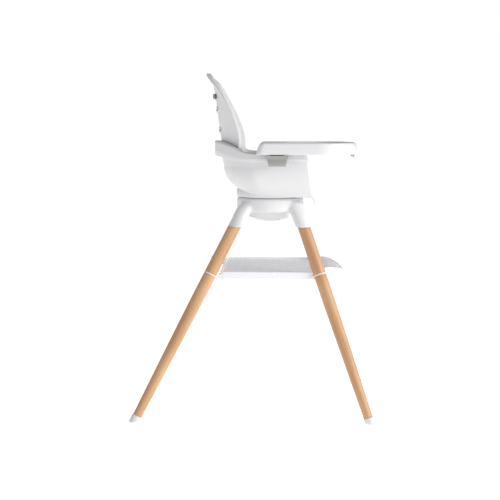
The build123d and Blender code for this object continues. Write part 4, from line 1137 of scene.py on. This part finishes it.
WAIST_TURN, WAIST_LENGTH = 62.0, 62
CROTCH_ROUTE = ((54, 636.4), (62, 635.6), (72, 634.2), (86, 632.8), (96, 632.4), (104, 632.3))
SHOULDER_ROUTE = ((-117.4, 901.2), (-104.0, 901.3), (-92.5, 900.2), (-87.5, 880.0), (-82.5, 850.0),
                  (-74.5, 790.0), (-55.0, 725.0), (-46.0, 680.0), (-32.0, 650.0), (-12.0, 638.4),
                  (14.0, 636.6))
for side_name, side in SIDES.items():
    line = [(x, side * SLOT_Y, z) for x, z in smooth_line(SHOULDER_ROUTE, 120)]
    ribbon(f"shoulder_webbing_{side_name}", line, (0, -1, 0), f"shoulder_strap_{side_name}")
    turn = math.radians(WAIST_TURN)
    start = Vector((BUCKLE_X - 6, side * 31.0, SEAT_PAD_TOP + 1.2))
    away = Vector((-math.cos(turn), side * math.sin(turn), 0))
    line = [start + away * s for s in np.linspace(0, WAIST_LENGTH, 40)]
    across = Vector((0, 0, 1)).cross(away)
    ribbon(f"waist_webbing_{side_name}", line, across, f"waist_strap_{side_name}")
ribbon("crotch_webbing", [(x, 0, z) for x, z in smooth_line(CROTCH_ROUTE, 40)], (0, -1, 0), "crotch_strap")


# ---------------------------------------------------------------- CAD pieces that stay
for node, piece in frame["nodes"].items():
    if piece.hide_render:
        continue
    piece.data.materials.clear()
    piece.data.materials.append(MATERIALS[SLOT_OF[node]])

# ---------------------------------------------------------------- stage, light and camera
FLOOR_HALF_M, FLOOR_GLOW = 30.0, 0.68
SURROUND_LIGHT, BACKDROP_LIGHT = 0.40, 1.02
KEY_PLACE, KEY_TARGET, KEY_SIZE, KEY_WATTS = (2.8, -1.2, 1.5), (0.05, 0.0, 0.35), 1.3, 56.0
CAMERA_PLACE, CAMERA_DIP, CAMERA_TURN, CAMERA_LENS = (0.070, -2.600, 0.8048), 7.884, 1.80, 62.39

bm = bmesh.new()
bmesh.ops.create_grid(bm, x_segments=8, y_segments=8, size=FLOOR_HALF_M)
floor_mesh = bpy.data.meshes.new("floor")
bm.to_mesh(floor_mesh)
bm.free()
floor = bpy.data.objects.new("floor", floor_mesh)
bpy.context.scene.collection.objects.link(floor)
floor_material, tree, surface = new_material("floor_white")
feed(tree, surface, {"Base Color": (0.9, 0.9, 0.9, 1.0), "Roughness": 0.8, "Specular IOR Level": 0.1,
                     "Emission Color": (1.0, 1.0, 1.0, 1.0), "Emission Strength": FLOOR_GLOW})
floor.data.materials.append(floor_material)
floor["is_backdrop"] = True

world = bpy.data.worlds.new("studio")
world.use_nodes = True
sky = world.node_tree
around = sky.nodes["Background"]
feed(sky, around, {"Color": (0.985, 0.99, 1.0, 1.0), "Strength": SURROUND_LIGHT})
backdrop = add_node(sky, "ShaderNodeBackground", {"Color": (1.0, 1.0, 1.0, 1.0), "Strength": BACKDROP_LIGHT})
seen = add_node(sky, "ShaderNodeLightPath").outputs["Is Camera Ray"]
both = add_node(sky, "ShaderNodeMixShader", {0: seen, 1: around.outputs[0], 2: backdrop.outputs[0]})
sky.links.new(both.outputs[0], sky.nodes["World Output"].inputs["Surface"])
bpy.context.scene.world = world

light = bpy.data.lights.new("key", "AREA")
light.shape, light.size, light.energy = "DISK", KEY_SIZE, KEY_WATTS
lamp = bpy.data.objects.new("key", light)
bpy.context.scene.collection.objects.link(lamp)
lamp.location = KEY_PLACE
lamp.rotation_euler = (Vector(KEY_TARGET) - Vector(KEY_PLACE)).to_track_quat("-Z", "Y").to_euler()

camera = bpy.data.cameras.new("camera")
camera.lens, camera.sensor_width = CAMERA_LENS, 36.0
viewer = bpy.data.objects.new("camera", camera)
bpy.context.scene.collection.objects.link(viewer)
viewer.location = CAMERA_PLACE
viewer.rotation_euler = (math.radians(90 - CAMERA_DIP), 0.0, math.radians(CAMERA_TURN))
bpy.context.scene.camera = viewer
bpy.context.scene.view_settings.view_transform = "Standard"

low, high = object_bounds()
